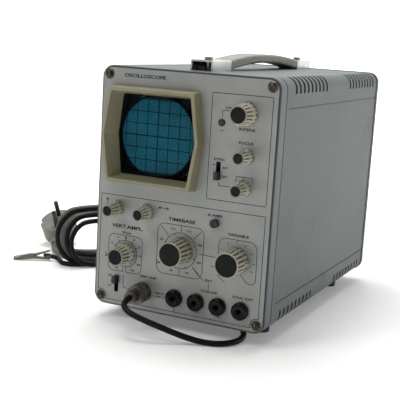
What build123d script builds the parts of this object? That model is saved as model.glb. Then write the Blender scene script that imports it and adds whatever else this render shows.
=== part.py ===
from build123d import *
import os
from math import cos, pi, radians, sin, tan

# Portable cathode-ray oscilloscope with a test cable and a mains lead.
# Frame: +X to the right, front towards -Y, +Z up, millimetres. The feet stand on z = 0 and the
# origin lies under the middle of the instrument, cords left out.

os.makedirs("parts", exist_ok=True)

# ---------------------------------------------------------------- driving dimensions
body_width = 160.0
body_height = 204.5
body_depth = 272.0          # from the face of the front panel to the rear edge
foot_height = 12.0
body_corner = 10.0          # outside bend of the case

frame_depth = 12.5          # moulded front frame, seen from the side
frame_setback = 0.8         # the panel stands this much in front of the frame's edge
frame_edge = 1.4            # width of frame seen around the panel
frame_lip = 4.0             # ledge behind the panel
frame_groove = 1.0          # shadow gap between frame and case
frame_spigot = 7.0          # length of the frame's sleeve inside the case
frame_wall = 2.0
frame_round = 0.7
frame_ledge_thickness = 3.0
frame_post_wall = 2.6
screw_hole_spare = 1.0

panel_thickness = 2.0
panel_gap = 0.2

case_wall = 1.2
rear_trim_depth = 6.0
rear_trim_proud = 0.5
rear_trim_wall = 2.6
rear_panel_thickness = 1.5
rear_panel_recess = 1.5
rear_trim_round = 1.2
rear_spigot = 5.0

slot_width = 4.0
slot_pitch = 9.4
slots_per_group = 9
front_slots_middle = 71.0   # behind the panel face
rear_slots_middle = 57.4    # ahead of the rear edge
slot_side_reach = 13.0      # from the top or bottom of the body down the side
slot_over_reach = 8.5       # from the side of the body over the bend

crease_width = 0.9
crease_depth = 0.45
crease_levels = (21.9, 180.4)
crease_start = 20.0

fit_gap = 0.2               # ordinary clearance between fixed pieces
running_gap = 0.05          # radial clearance of a turning shaft
moving_gap = 0.4            # air between a moving piece and its neighbours

# ---------------------------------------------------------------- places on the front panel
large_reach = 19.0          # how far the large knobs stand out of the panel
knob_large = {"base": 22.6, "front": 20.6, "reach": large_reach, "cap": 18.2, "flutes": 18, "flute": 1.5}
knob_medium = {"base": 18.6, "front": 14.6, "reach": 17.0, "cap": 12.2, "flutes": 16, "flute": 1.15}
knob_small = {"base": 12.4, "front": 9.8, "reach": 16.5, "cap": 7.8, "flutes": 12, "flute": 0.9}

# name, place across, height, size, pointer's angle clockwise from straight up
controls = (
    ("intensity", 52.6, 174.8, knob_medium, 210.0),
    ("focus", 54.6, 141.6, knob_small, 20.0),
    ("trigger_level", 54.3, 116.0, knob_small, -25.0),
    ("vertical_position", -60.2, 85.0, knob_small, 10.0),
    ("horizontal_position", -31.2, 85.2, knob_small, -15.0),
    ("vertical_gain", -50.4, 46.9, knob_medium, -90.0),
    ("timebase", 1.4, 57.6, knob_large, -112.5),
    ("timebase_variable", 51.6, 57.0, knob_large, 90.0),
)
rotary_names = ("vertical_gain", "timebase")

screen_x = -28.7
screen_z = 148.3
trimmer_x = 31.7
trimmer_z = 85.1
lamp_x = 31.9
lamp_z = 166.3
sync_x = 31.1
sync_z = 127.7
coupling_x = -58.0
coupling_z = 19.7
jack_first_x = -1.5
jack_pitch = 20.0
jack_count = 4
jack_z = 16.8
input_x = -31.9
input_z = 16.7
corner_inset = 7.2

# ---------------------------------------------------------------- screen hood
hood_reach = 9.5
hood_draft = 1.3
hood_corner_half = 39.3     # half width of the front rim at its corners
hood_middle_half = 45.0     # half width of the rim at mid height, where the sides bow out
hood_half_height = 39.2
hood_rim = 2.7
view_size = (32.4, 36.2, 33.7)   # the opening in front of the screen, by corner, middle and height
view_depth = 4.0
hood_spigot_size = (36.6, 40.4, 37.9)
hood_ledge = 1.0
hood_back = 7.4
filter_margin = 2.2
filter_thickness = 2.0
hood_round = 2.0
hood_edge_round = 0.8

# ---------------------------------------------------------------- cathode-ray tube
tube_face_radius = 36.0
tube_face_round = 3.0
tube_bulb_length = 16.0
tube_funnel_length = 72.0
tube_neck_radius = 19.0
tube_length = 168.0
tube_base_radius = 15.0
tube_base_length = 12.0
shield_start = 16.0
shield_end = 170.0
shield_gap = 2.0
shield_bulb_radius = 37.5
shield_neck_radius = 21.0
shield_wall = 0.8

# ---------------------------------------------------------------- shafts, sockets and switches
shaft_radius = 3.0
shaft_tail = 13.0           # end of the shaft behind the panel face
shaft_end_gap = 1.0
knob_standoff = 1.0
bush_radius = 4.9
bush_proud = 0.4
shaft_cover = 5.0           # front of the knob above the end of the shaft
knob_rim_depth = 1.6
knob_rim_step = 0.25
knob_foot_share = 0.55
beak_reach = 1.1
beak_width = 1.8
beak_height = 6.0
cap_thickness = 2.2
cap_sink = 0.3
cap_round = 0.5
knob_cap_gap = 0.05
pot_radius = 10.5
pot_depth = 14.0
wafer_radius = 14.0
wafer_count = 3
wafer_thickness = 1.6
wafer_pitch = 9.0
rod_radius = 1.6
rod_inset = 2.5
switch_front = 12.0
switch_depth = 36.0

slide_width = 4.1
slide_height = 14.7
slider_height = 6.4
slider_reach = 5.5
slider_tail = 4.0
slider_gap = 0.3
slider_round = 0.4
slide_body_width = 11.0
slide_body_height = 22.0
slide_body_depth = 9.0

jack_head_radius = 7.3
jack_head_reach = 4.6
jack_barrel_radius = 5.0
jack_bore_radius = 2.0
jack_bore_length = 20.0
jack_mouth_radius = 2.9
jack_mouth_depth = 1.0
jack_round = 2.2
jack_barrel_length = 20.0
jack_nut_radius = 6.6
jack_nut_thickness = 2.5

input_flange_radius = 8.4
input_flange_reach = 1.6
input_barrel_radius = 5.6
input_barrel_reach = 11.0
input_body_radius = 6.4
input_body_length = 14.0
input_nut_radius = 8.6
input_nut_thickness = 2.5

lamp_radius = 2.6
lamp_lens_radius = 2.9
lamp_reach = 2.2
lamp_round = 1.5
lamp_body_length = 12.0

trimmer_knob_radius = 3.6
trimmer_knob_height = 3.4
trimmer_slot_width = 0.8
trimmer_slot_depth = 0.9
trimmer_shaft_radius = 1.6
trimmer_bush_radius = 2.8
trimmer_body_radius = 6.0
trimmer_tail = 9.0
trimmer_round = 0.5

# ---------------------------------------------------------------- handle
handle_width = 20.0
bracket_height = 8.7
bracket_length = 37.0
bracket_wall = 1.4
front_bracket_start = 23.0  # behind the panel face
rear_bracket_start = 51.0   # ahead of the rear edge
grip_crown = 14.0
grip_thickness = 7.6
grip_end_drop = 7.0
tongue_thickness = 3.0
tongue_reach = 27.0
tongue_slot = 14.0
front_handle_screw = 36.0
rear_handle_screw = 27.0
bracket_round = 1.2
tongue_overlap = 3.0
grip_edge_round = 2.0

# ---------------------------------------------------------------- feet and fasteners
foot_radius = 9.0
foot_x = 58.0
front_foot = 48.0           # behind the panel face
rear_foot = 44.0            # ahead of the rear edge
foot_taper = 6.0
foot_seat = 7.0             # rubber between the screw's head and the case
m4_radius = 2.0
m4_head_radius = 3.6
m4_head_height = 2.4
m4_length = 12.0
m3_radius = 1.5
m3_head_radius = 2.7
m3_head_height = 1.6
m3_length = 9.0
m3_head_round = 0.7
cup_radius = 4.4
cup_thickness = 1.1
cup_taper = 30.0
cross_width = 0.8
cross_length = 3.2
cross_depth = 1.0

# ---------------------------------------------------------------- cords and what is on them
plug_shell_radius = 8.0
plug_shell_length = 12.0
plug_shell_end = input_flange_reach + fit_gap + plug_shell_length
plug_nut_radius = 5.2
plug_nut_length = 8.0
test_cable_diameter = 5.0
coil_foot = (-171.0, 129.0)          # on the floor under the front turn, behind the panel face
coil_heading = 47.7         # the bundle's long side, in degrees from +X
coil_straight = 50.0        # between the centres of its two ends
test_coil_outer = 32.5
test_coil_inner = 18.5
test_coil_front = -3.5      # along the bundle's axis, from its front turn
test_coil_back = 12.5
mains_coil_outer = 32.5
mains_coil_inner = 20.0
mains_coil_front = 13.0
mains_coil_back = 34.0
clip_tip = (-249.0, 109.0)
clip_end = (-219.0, 128.5)
clip_length = 38.0
clip_pivot = 22.0
clip_width = 5.0
clip_ferrule_radius = 2.8
clip_ferrule_height = 4.9
clip_ferrule_start = 31.0
clip_ferrule_length = 8.0
ferrule_grip = 5.5          # length of cable held in the ferrule

mains_lead_diameter = 6.0
gland_flange_radius = 8.0
gland_flange_thickness = 2.5
gland_tail_radius = 4.2
gland_tail_length = 24.0
gland_inside = 4.0
mains_plug_face = (-254.0, 195.5, 28.4)
mains_plug_aim = (0.04, -0.455, 0.89)
mains_plug_across = (0.906, 0.392, 0.160)    # along the earth contacts
mains_plug_exit = (0.35, -0.83, -0.44)
mains_plug_radius = 20.0
mains_plug_back_radius = 18.8
mains_plug_length = 21.5
mains_plug_round = 3.5
mains_plug_rim_round = 1.0
relief_root_radius = 6.0
relief_end_radius = 4.0
relief_length = 10.0
mains_pin_pitch = 19.0
mains_pin_radius = 2.4
mains_pin_length = 19.0
mains_pin_round = 1.6
earth_slot_width = 7.0
earth_slot_depth = 2.4
earth_slot_length = 14.0
crescent_radius = 16.4
crescent_width = 2.2
crescent_depth = 4.0
crescent_starts = (18.0, 115.0, 198.0, 295.0)
crescent_span = 47.0

# ---------------------------------------------------------------- rear panel and inside
vent_z = 140.0
vent_pitch = 8.0
vent_count = 15
vent_length = 60.0
vent_width = 3.6
gland_x = -45.0
gland_z = 24.0
gland_neck_radius = 5.0
chassis_wall = 1.5
chassis_side_gap = 9.5
chassis_end_gap = 1.0
chassis_flange = 14.0
bulkhead_depth = 120.0
bulkhead_height = 190.0
transformer_x = 24.0
transformer_lead = 4.0      # ahead of the middle of the rear bay
core_width = 62.0
core_depth = 44.0
core_height = 52.0
core_yoke = 10.0
core_round = 1.0
coil_round = 5.0
coil_width = 44.0
coil_depth = 66.0
board_x = 64.0
board_front_gap = 15.0      # behind the bulkhead
board_rear_gap = 27.0       # ahead of the rear edge
board_height = 90.0
board_thickness = 1.6
capacitor_pitch = 30.0
capacitor_radius = 7.0
capacitor_height = 16.0
capacitor_z = 60.0


# ---------------------------------------------------------------- frame of reference
panel_y = large_reach - (large_reach + body_depth) / 2


def facing(depth):
    """Plane across the instrument, depth behind the panel face: x is X, y is height above the body's
    bottom, and the normal points at the user."""
    return Plane(origin=(0, panel_y + depth, foot_height), x_dir=(1, 0, 0), z_dir=(0, -1, 0))


def level(height):
    """Horizontal plane at a height above the body's bottom, with its origin under the panel face."""
    return Plane(origin=(0, panel_y, foot_height + height))


def finish(piece, name):
    piece.part.label = name
    export_step(piece.part, f"parts/{name}.step")


body_middle = body_height / 2
slot_group_middles = (front_slots_middle, body_depth - rear_slots_middle)
bracket_starts = (front_bracket_start, body_depth - rear_bracket_start)
handle_screw_places = (front_handle_screw, body_depth - rear_handle_screw)
foot_places = (front_foot, body_depth - rear_foot)
transformer_depth = (bulkhead_depth + body_depth) / 2 - transformer_lead
board_start = bulkhead_depth + board_front_gap
board_end = body_depth - board_rear_gap
board_middle = (board_start + board_end) / 2
board_length = board_end - board_start
case_start = frame_depth + frame_groove
case_end = body_depth - rear_trim_depth
case_bore_width = body_width - 2 * case_wall
case_bore_height = body_height - 2 * case_wall

# ================================================================ outlines used more than once
def screen_outline(corner_half, middle_half, half_height):
    """Six-sided opening whose left and right sides bow out to a corner at mid height."""
    with BuildSketch() as outline:
        with BuildLine():
            Polyline(
                (-corner_half, -half_height),
                (corner_half, -half_height),
                (middle_half, 0),
                (corner_half, half_height),
                (-corner_half, half_height),
                (-middle_half, 0),
                close=True,
            )
        make_face()
        fillet(outline.vertices(), hood_round)
    return outline.sketch


def fluted_outline(radius, flute_radius, count):
    """Circle with scallops cut out of its edge."""
    with BuildSketch() as outline:
        Circle(radius)
        with PolarLocations(radius + 0.35 * flute_radius, count):
            Circle(flute_radius, mode=Mode.SUBTRACT)
    return outline.sketch


# ================================================================ front frame and panel
panel_size = (body_width - 2 * frame_edge, body_height - 2 * frame_edge)
panel_corner = body_corner - frame_edge
recess_size = (panel_size[0] + 2 * panel_gap, panel_size[1] + 2 * panel_gap)
ledge_size = (panel_size[0] - 2 * frame_lip, panel_size[1] - 2 * frame_lip)
spigot_size = (case_bore_width - 2 * fit_gap, case_bore_height - 2 * fit_gap)
spigot_corner = body_corner - case_wall - fit_gap
spigot_bore = (spigot_size[0] - 2 * frame_wall, spigot_size[1] - 2 * frame_wall)
corner_pitch = (body_width - 2 * corner_inset, body_height - 2 * corner_inset)
screw_post_length = m3_length + screw_hole_spare
middle = [(0, body_middle)]

with BuildPart() as front_frame:
    with BuildSketch(facing(frame_setback)):
        with Locations(middle):
            RectangleRounded(body_width, body_height, body_corner)
    extrude(amount=-(frame_depth - frame_setback))
    fillet(front_frame.faces().sort_by(Axis.Y)[0].edges(), frame_round)
    with BuildSketch(facing(frame_depth)):
        with Locations(middle):
            RectangleRounded(*spigot_size, spigot_corner)
    extrude(amount=-frame_spigot)
    with BuildSketch(facing(frame_setback)):
        with Locations(middle):
            RectangleRounded(*recess_size, panel_corner + panel_gap)
    extrude(amount=-(panel_thickness - frame_setback), mode=Mode.SUBTRACT)
    with BuildSketch(facing(panel_thickness)):
        with Locations(middle):
            RectangleRounded(*ledge_size, panel_corner)
    extrude(amount=-frame_ledge_thickness, mode=Mode.SUBTRACT)
    with BuildSketch(facing(panel_thickness + frame_ledge_thickness)):
        with Locations(middle):
            RectangleRounded(*spigot_bore, spigot_corner - frame_wall)
    extrude(amount=-(frame_depth + frame_spigot), mode=Mode.SUBTRACT)
    with BuildSketch(facing(panel_thickness)):
        with Locations(middle):
            with GridLocations(*corner_pitch, 2, 2):
                Circle(m3_radius + frame_post_wall)
    extrude(amount=-screw_post_length)
    with BuildSketch(facing(panel_thickness)):
        with Locations(middle):
            with GridLocations(*corner_pitch, 2, 2):
                Circle(m3_radius)
    extrude(amount=-screw_post_length, mode=Mode.SUBTRACT)
finish(front_frame, "front_frame")

jack_places = [(jack_first_x + jack_pitch * number, jack_z) for number in range(jack_count)]
control_places = [(place[1], place[2]) for place in controls]
slide_places = [(sync_x, sync_z), (coupling_x, coupling_z)]

with BuildPart() as front_panel:
    with BuildSketch(facing(0)):
        with Locations(middle):
            RectangleRounded(*panel_size, panel_corner)
            with GridLocations(*corner_pitch, 2, 2):
                Circle(m3_radius + fit_gap, mode=Mode.SUBTRACT)
        with Locations((screen_x, screen_z)):
            add(screen_outline(*hood_spigot_size), mode=Mode.SUBTRACT)
        with Locations(control_places):
            Circle(bush_radius + fit_gap / 2, mode=Mode.SUBTRACT)
        with Locations(slide_places):
            Rectangle(slide_width, slide_height, mode=Mode.SUBTRACT)
        with Locations(jack_places):
            Circle(jack_barrel_radius + fit_gap / 2, mode=Mode.SUBTRACT)
        with Locations((input_x, input_z)):
            Circle(input_body_radius + fit_gap / 2, mode=Mode.SUBTRACT)
        with Locations((lamp_x, lamp_z)):
            Circle(lamp_radius + fit_gap / 2, mode=Mode.SUBTRACT)
        with Locations((trimmer_x, trimmer_z)):
            Circle(trimmer_bush_radius + fit_gap / 2, mode=Mode.SUBTRACT)
    extrude(amount=-panel_thickness)
finish(front_panel, "front_panel")

# ---------------------------------------------------------------- screen hood and graticule
rim_inner = (hood_corner_half - hood_rim, hood_middle_half - hood_rim, hood_half_height - hood_rim)
filter_size = tuple(half + filter_margin for half in view_size)

with BuildPart() as screen_bezel:
    with BuildSketch(facing(0)):
        with Locations((screen_x, screen_z)):
            add(
                screen_outline(
                    hood_corner_half + hood_draft, hood_middle_half + hood_draft, hood_half_height + hood_draft
                )
            )
    with BuildSketch(facing(-hood_reach)):
        with Locations((screen_x, screen_z)):
            add(screen_outline(hood_corner_half, hood_middle_half, hood_half_height))
    loft(ruled=True)
    fillet(screen_bezel.faces().sort_by(Axis.Y)[0].edges(), hood_edge_round)
    with BuildSketch(facing(0)):
        with Locations((screen_x, screen_z)):
            add(screen_outline(*[half - fit_gap for half in hood_spigot_size]))
    extrude(amount=-hood_back)
    with BuildSketch(facing(-hood_reach)):
        with Locations((screen_x, screen_z)):
            add(screen_outline(*rim_inner))
    with BuildSketch(facing(view_depth)):
        with Locations((screen_x, screen_z)):
            add(screen_outline(*view_size))
    loft(ruled=True, mode=Mode.SUBTRACT)
    with BuildSketch(facing(view_depth + hood_ledge)):
        with Locations((screen_x, screen_z)):
            add(screen_outline(*filter_size))
    extrude(amount=-hood_back, mode=Mode.SUBTRACT)
    with BuildSketch(facing(view_depth)):
        with Locations((screen_x, screen_z)):
            add(screen_outline(*view_size))
    extrude(amount=-hood_ledge, mode=Mode.SUBTRACT)
finish(screen_bezel, "screen_bezel")

filter_front = view_depth + hood_ledge
with BuildPart() as graticule_plate:
    with BuildSketch(facing(filter_front)):
        with Locations((screen_x, screen_z)):
            add(screen_outline(*[half - fit_gap for half in filter_size]))
    extrude(amount=-filter_thickness)
finish(graticule_plate, "graticule_plate")

# ---------------------------------------------------------------- cathode-ray tube and its shield
crt_face = filter_front + filter_thickness + fit_gap
tube_axis = Axis((screen_x, panel_y, foot_height + screen_z), (0, 1, 0))
tube_side = Plane(
    origin=(screen_x, panel_y, foot_height + screen_z), x_dir=(0, 1, 0), z_dir=(1, 0, 0)
)
funnel_start = crt_face + tube_bulb_length
funnel_end = funnel_start + tube_funnel_length
neck_end = crt_face + tube_length

with BuildPart() as crt_tube:
    with BuildSketch(tube_side):
        with BuildLine():
            Line((crt_face, 0), (crt_face, tube_face_radius - tube_face_round))
            Line((crt_face + tube_face_round, tube_face_radius), (funnel_start, tube_face_radius))
            Line((funnel_start, tube_face_radius), (funnel_end, tube_neck_radius))
            Line((funnel_end, tube_neck_radius), (neck_end, tube_neck_radius))
            Line((neck_end, tube_neck_radius), (neck_end, tube_base_radius))
            Line((neck_end, tube_base_radius), (neck_end + tube_base_length, tube_base_radius))
            Line((neck_end + tube_base_length, tube_base_radius), (neck_end + tube_base_length, 0))
            Line((neck_end + tube_base_length, 0), (crt_face, 0))
            RadiusArc(
                (crt_face, tube_face_radius - tube_face_round),
                (crt_face + tube_face_round, tube_face_radius),
                tube_face_round,
            )
        make_face()
    revolve(axis=tube_axis)
finish(crt_tube, "crt_tube")

with BuildPart() as crt_shield:
    with BuildSketch(tube_side):
        with BuildLine():
            Polyline(
                (shield_start, shield_bulb_radius),
                (funnel_start + shield_gap, shield_bulb_radius),
                (funnel_end + shield_gap, shield_neck_radius),
                (shield_end, shield_neck_radius),
                (shield_end, shield_neck_radius + shield_wall),
                (funnel_end + shield_gap, shield_neck_radius + shield_wall),
                (funnel_start + shield_gap, shield_bulb_radius + shield_wall),
                (shield_start, shield_bulb_radius + shield_wall),
                close=True,
            )
        make_face()
    revolve(axis=tube_axis)
finish(crt_shield, "crt_shield")

# ================================================================ controls
bush_places = {name: (x, z) for name, x, z, size, angle in controls}


def make_knob(name, x, z, size, angle):
    """Fluted knob with a pointer beak at its foot, a recess for the cap and a bore for the shaft."""
    reach = size["reach"]
    base = size["base"] / 2
    front = size["front"] / 2
    with BuildPart() as knob:
        with BuildSketch(facing(-knob_standoff)):
            with Locations((x, z)):
                add(fluted_outline(base, size["flute"], size["flutes"]))
        with BuildSketch(facing(-(reach - knob_rim_depth))):
            with Locations((x, z)):
                add(fluted_outline(front, size["flute"] * front / base, size["flutes"]))
        loft(ruled=True)
        with BuildSketch(facing(-(reach - knob_rim_depth))):
            with Locations((x, z)):
                Circle(front - knob_rim_step)
        extrude(amount=knob_rim_depth)
        with BuildSketch(facing(-knob_standoff)):
            with Locations((x, z)):
                Circle(base - size["flute"] * knob_foot_share)
                with PolarLocations(0, 1, start_angle=90 - angle):
                    with Locations((base - 1, 0)):
                        Rectangle(2 * beak_reach + 2, beak_width)
        extrude(amount=beak_height)
        with BuildSketch(facing(-reach)):
            with Locations((x, z)):
                Circle(size["cap"] / 2 + knob_cap_gap)
        extrude(amount=-cap_thickness, mode=Mode.SUBTRACT)
        with BuildSketch(facing(-knob_standoff)):
            with Locations((x, z)):
                Circle(shaft_radius)
        extrude(amount=reach - knob_standoff - shaft_cover, mode=Mode.SUBTRACT)
    finish(knob, f"{name}_knob")


def make_cap(name, x, z, size):
    """Domed black disc in the front of a knob."""
    with BuildPart() as cap:
        with BuildSketch(facing(-(size["reach"] - cap_thickness))):
            with Locations((x, z)):
                Circle(size["cap"] / 2)
        extrude(amount=cap_thickness - cap_sink)
        fillet(cap.faces().sort_by(Axis.Y)[0].edges(), cap_round)
    finish(cap, f"{name}_cap")


def make_shaft(name, x, z, size):
    """Spindle from inside the knob into the control behind the panel."""
    with BuildPart() as shaft:
        with BuildSketch(facing(shaft_tail)):
            with Locations((x, z)):
                Circle(shaft_radius)
        extrude(amount=shaft_tail + size["reach"] - shaft_cover)
    finish(shaft, f"{name}_shaft")


for name, x, z, size, angle in controls:
    make_knob(name, x, z, size, angle)
    make_cap(name, x, z, size)
    make_shaft(name, x, z, size)

pot_places = [bush_places[name] for name in bush_places if name not in rotary_names]
rotary_places = [bush_places[name] for name in rotary_names]
shaft_hole = shaft_radius + running_gap
shaft_hole_end = shaft_tail + shaft_end_gap

with BuildPart() as potentiometers:
    with BuildSketch(facing(panel_thickness)):
        with Locations(pot_places):
            Circle(pot_radius)
        with Locations((trimmer_x, trimmer_z)):
            Circle(trimmer_body_radius)
    extrude(amount=-pot_depth)
    with BuildSketch(facing(panel_thickness)):
        with Locations(pot_places):
            Circle(bush_radius)
        with Locations((trimmer_x, trimmer_z)):
            Circle(trimmer_bush_radius)
    extrude(amount=panel_thickness + bush_proud)
    with BuildSketch(facing(-bush_proud)):
        with Locations(pot_places):
            Circle(shaft_hole)
        with Locations((trimmer_x, trimmer_z)):
            Circle(trimmer_shaft_radius + running_gap)
    extrude(amount=-(shaft_hole_end + bush_proud), mode=Mode.SUBTRACT)
finish(potentiometers, "potentiometers")

wafer_starts = [switch_front + wafer_pitch * (number + 1) for number in range(wafer_count)]
with BuildPart() as rotary_switches:
    with BuildSketch(facing(panel_thickness)):
        with Locations(rotary_places):
            Circle(wafer_radius)
    extrude(amount=-switch_front)
    with BuildSketch(facing(panel_thickness)):
        with Locations(rotary_places):
            Circle(bush_radius)
    extrude(amount=panel_thickness + bush_proud)
    with BuildSketch(facing(panel_thickness + switch_front)):
        with Locations(rotary_places):
            with GridLocations(2 * (wafer_radius - rod_inset), 0, 2, 1):
                Circle(rod_radius)
            Circle(shaft_radius)
    extrude(amount=-switch_depth)
    for wafer_start in wafer_starts:
        with BuildSketch(facing(wafer_start)):
            with Locations(rotary_places):
                Circle(wafer_radius)
        extrude(amount=-wafer_thickness)
    with BuildSketch(facing(-bush_proud)):
        with Locations(rotary_places):
            Circle(shaft_hole)
    extrude(amount=-(shaft_hole_end + bush_proud), mode=Mode.SUBTRACT)
finish(rotary_switches, "rotary_switches")

with BuildPart() as trimmer_spindle:
    with BuildSketch(facing(-(bush_proud + moving_gap))):
        with Locations((trimmer_x, trimmer_z)):
            Circle(trimmer_knob_radius)
    extrude(amount=trimmer_knob_height)
    fillet(trimmer_spindle.faces().sort_by(Axis.Y)[0].edges(), trimmer_round)
    with BuildSketch(facing(-(bush_proud + moving_gap + trimmer_knob_height))):
        with Locations((trimmer_x, trimmer_z)):
            Rectangle(trimmer_slot_width, 2 * trimmer_knob_radius)
    extrude(amount=-trimmer_slot_depth, mode=Mode.SUBTRACT)
    with BuildSketch(facing(-(bush_proud + moving_gap))):
        with Locations((trimmer_x, trimmer_z)):
            Circle(trimmer_shaft_radius)
    extrude(amount=-(bush_proud + moving_gap + trimmer_tail))
finish(trimmer_spindle, "horizontal_gain_trimmer")

# ---------------------------------------------------------------- slide switches
with BuildPart() as slide_switches:
    with BuildSketch(facing(panel_thickness)):
        with Locations(slide_places):
            Rectangle(slide_body_width, slide_body_height)
    extrude(amount=-slide_body_depth)
    with BuildSketch(facing(panel_thickness)):
        with Locations(slide_places):
            Rectangle(slide_width, slide_height)
    extrude(amount=-slider_tail, mode=Mode.SUBTRACT)
finish(slide_switches, "slide_switches")


def make_slider(name, x, middle_z):
    """Square black finger of a slide switch, with ribs across its end."""
    with BuildPart() as slider:
        with BuildSketch(facing(panel_thickness + slider_tail - moving_gap)):
            with Locations((x, middle_z)):
                Rectangle(slide_width - 2 * slider_gap, slider_height)
        extrude(amount=panel_thickness + slider_tail - moving_gap + slider_reach)
        fillet(slider.faces().sort_by(Axis.Y)[0].edges(), slider_round)
    finish(slider, name)


slider_offset = (slide_height - slider_height) / 2 - slider_gap
make_slider("sync_slider", sync_x, sync_z - slider_offset)
make_slider("coupling_slider", coupling_x, coupling_z + slider_offset)

# ---------------------------------------------------------------- lamp and sockets
with BuildPart() as pilot_lamp:
    with BuildSketch(facing(0)):
        with Locations((lamp_x, lamp_z)):
            Circle(lamp_lens_radius)
    extrude(amount=lamp_reach)
    fillet(pilot_lamp.faces().sort_by(Axis.Y)[0].edges(), lamp_round)
    with BuildSketch(facing(0)):
        with Locations((lamp_x, lamp_z)):
            Circle(lamp_radius)
    extrude(amount=-lamp_body_length)
finish(pilot_lamp, "pilot_lamp")

with BuildPart() as jack_sockets:
    with BuildSketch(facing(0)):
        with Locations(jack_places):
            Circle(jack_head_radius)
    extrude(amount=jack_head_reach)
    fillet(jack_sockets.faces().filter_by(Plane.XZ).group_by(Axis.Y)[0].edges(), jack_round)
    with BuildSketch(facing(0)):
        with Locations(jack_places):
            Circle(jack_barrel_radius)
    extrude(amount=-jack_barrel_length)
    with BuildSketch(facing(panel_thickness)):
        with Locations(jack_places):
            RegularPolygon(jack_nut_radius, 6)
    extrude(amount=-jack_nut_thickness)
    with BuildSketch(facing(-jack_head_reach)):
        with Locations(jack_places):
            Circle(jack_bore_radius)
    extrude(amount=-jack_bore_length, mode=Mode.SUBTRACT)
    with BuildSketch(facing(-jack_head_reach)):
        with Locations(jack_places):
            Circle(jack_mouth_radius)
    extrude(amount=-jack_mouth_depth, mode=Mode.SUBTRACT)
finish(jack_sockets, "jack_sockets")

with BuildPart() as input_socket:
    with BuildSketch(facing(0)):
        with Locations((input_x, input_z)):
            Circle(input_flange_radius)
    extrude(amount=input_flange_reach)
    with BuildSketch(facing(0)):
        with Locations((input_x, input_z)):
            Circle(input_barrel_radius)
    extrude(amount=input_barrel_reach)
    with BuildSketch(facing(0)):
        with Locations((input_x, input_z)):
            Circle(input_body_radius)
    extrude(amount=-input_body_length)
    with BuildSketch(facing(panel_thickness)):
        with Locations((input_x, input_z)):
            RegularPolygon(input_nut_radius, 6)
    extrude(amount=-input_nut_thickness)
finish(input_socket, "input_socket")

# ================================================================ case
slot_depths = [
    group_middle + slot_pitch * (number - (slots_per_group - 1) / 2)
    for group_middle in slot_group_middles
    for number in range(slots_per_group)
]
crease_length = case_end - crease_start

with BuildPart() as case_shell:
    with BuildSketch(facing(case_start)):
        with Locations(middle):
            RectangleRounded(body_width, body_height, body_corner)
            RectangleRounded(
                case_bore_width, case_bore_height, body_corner - case_wall, mode=Mode.SUBTRACT
            )
    extrude(amount=-(case_end - case_start))
    with BuildSketch(Plane.XY.offset(foot_height)) as slot_plan:
        for across in (-1, 1):
            with Locations([(across * body_width / 2, panel_y + depth) for depth in slot_depths]):
                Rectangle(2 * slot_over_reach, slot_width)
    extrude(amount=slot_side_reach, mode=Mode.SUBTRACT)
    with BuildSketch(Plane.XY.offset(foot_height + body_height - slot_side_reach)):
        add(slot_plan.sketch_local)
    extrude(amount=slot_side_reach, mode=Mode.SUBTRACT)
    for crease_level in crease_levels:
        with BuildSketch(facing(crease_start)):
            with Locations((-body_width / 2, crease_level), (body_width / 2, crease_level)):
                Rectangle(2 * crease_depth, crease_width)
        extrude(amount=-crease_length, mode=Mode.SUBTRACT)
    with BuildSketch(level(0)):
        with Locations([(x, y) for x in (-foot_x, foot_x) for y in foot_places]):
            Circle(m4_radius)
    extrude(amount=case_wall, mode=Mode.SUBTRACT)
    with BuildSketch(level(body_height)):
        with Locations([(0, y) for y in handle_screw_places]):
            Circle(m4_radius)
    extrude(amount=-case_wall, mode=Mode.SUBTRACT)
finish(case_shell, "case_shell")

trim_width = body_width + 2 * rear_trim_proud
trim_height = body_height + 2 * rear_trim_proud
rear_opening = (body_width - 2 * rear_trim_wall, body_height - 2 * rear_trim_wall)
rear_opening_corner = body_corner - rear_trim_wall

with BuildPart() as rear_trim:
    with BuildSketch(facing(case_end)):
        with Locations(middle):
            RectangleRounded(trim_width, trim_height, body_corner)
    extrude(amount=-rear_trim_depth)
    fillet(rear_trim.faces().sort_by(Axis.Y)[-1].edges(), rear_trim_round)
    with BuildSketch(facing(case_end)):
        with Locations(middle):
            RectangleRounded(*spigot_size, spigot_corner)
    extrude(amount=rear_spigot)
    with BuildSketch(facing(case_end - rear_spigot)):
        with Locations(middle):
            RectangleRounded(*rear_opening, rear_opening_corner)
    extrude(amount=-(rear_spigot + rear_trim_depth), mode=Mode.SUBTRACT)
finish(rear_trim, "rear_trim")

rear_panel_start = body_depth - rear_panel_recess - rear_panel_thickness
with BuildPart() as rear_panel:
    with BuildSketch(facing(rear_panel_start)):
        with Locations(middle):
            RectangleRounded(*rear_opening, rear_opening_corner)
        with Locations((0, vent_z)):
            with GridLocations(vent_pitch, 0, vent_count, 1):
                SlotOverall(vent_length, vent_width, rotation=90, mode=Mode.SUBTRACT)
        with Locations((gland_x, gland_z)):
            Circle(gland_neck_radius, mode=Mode.SUBTRACT)
    extrude(amount=-rear_panel_thickness)
finish(rear_panel, "rear_panel")

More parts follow.
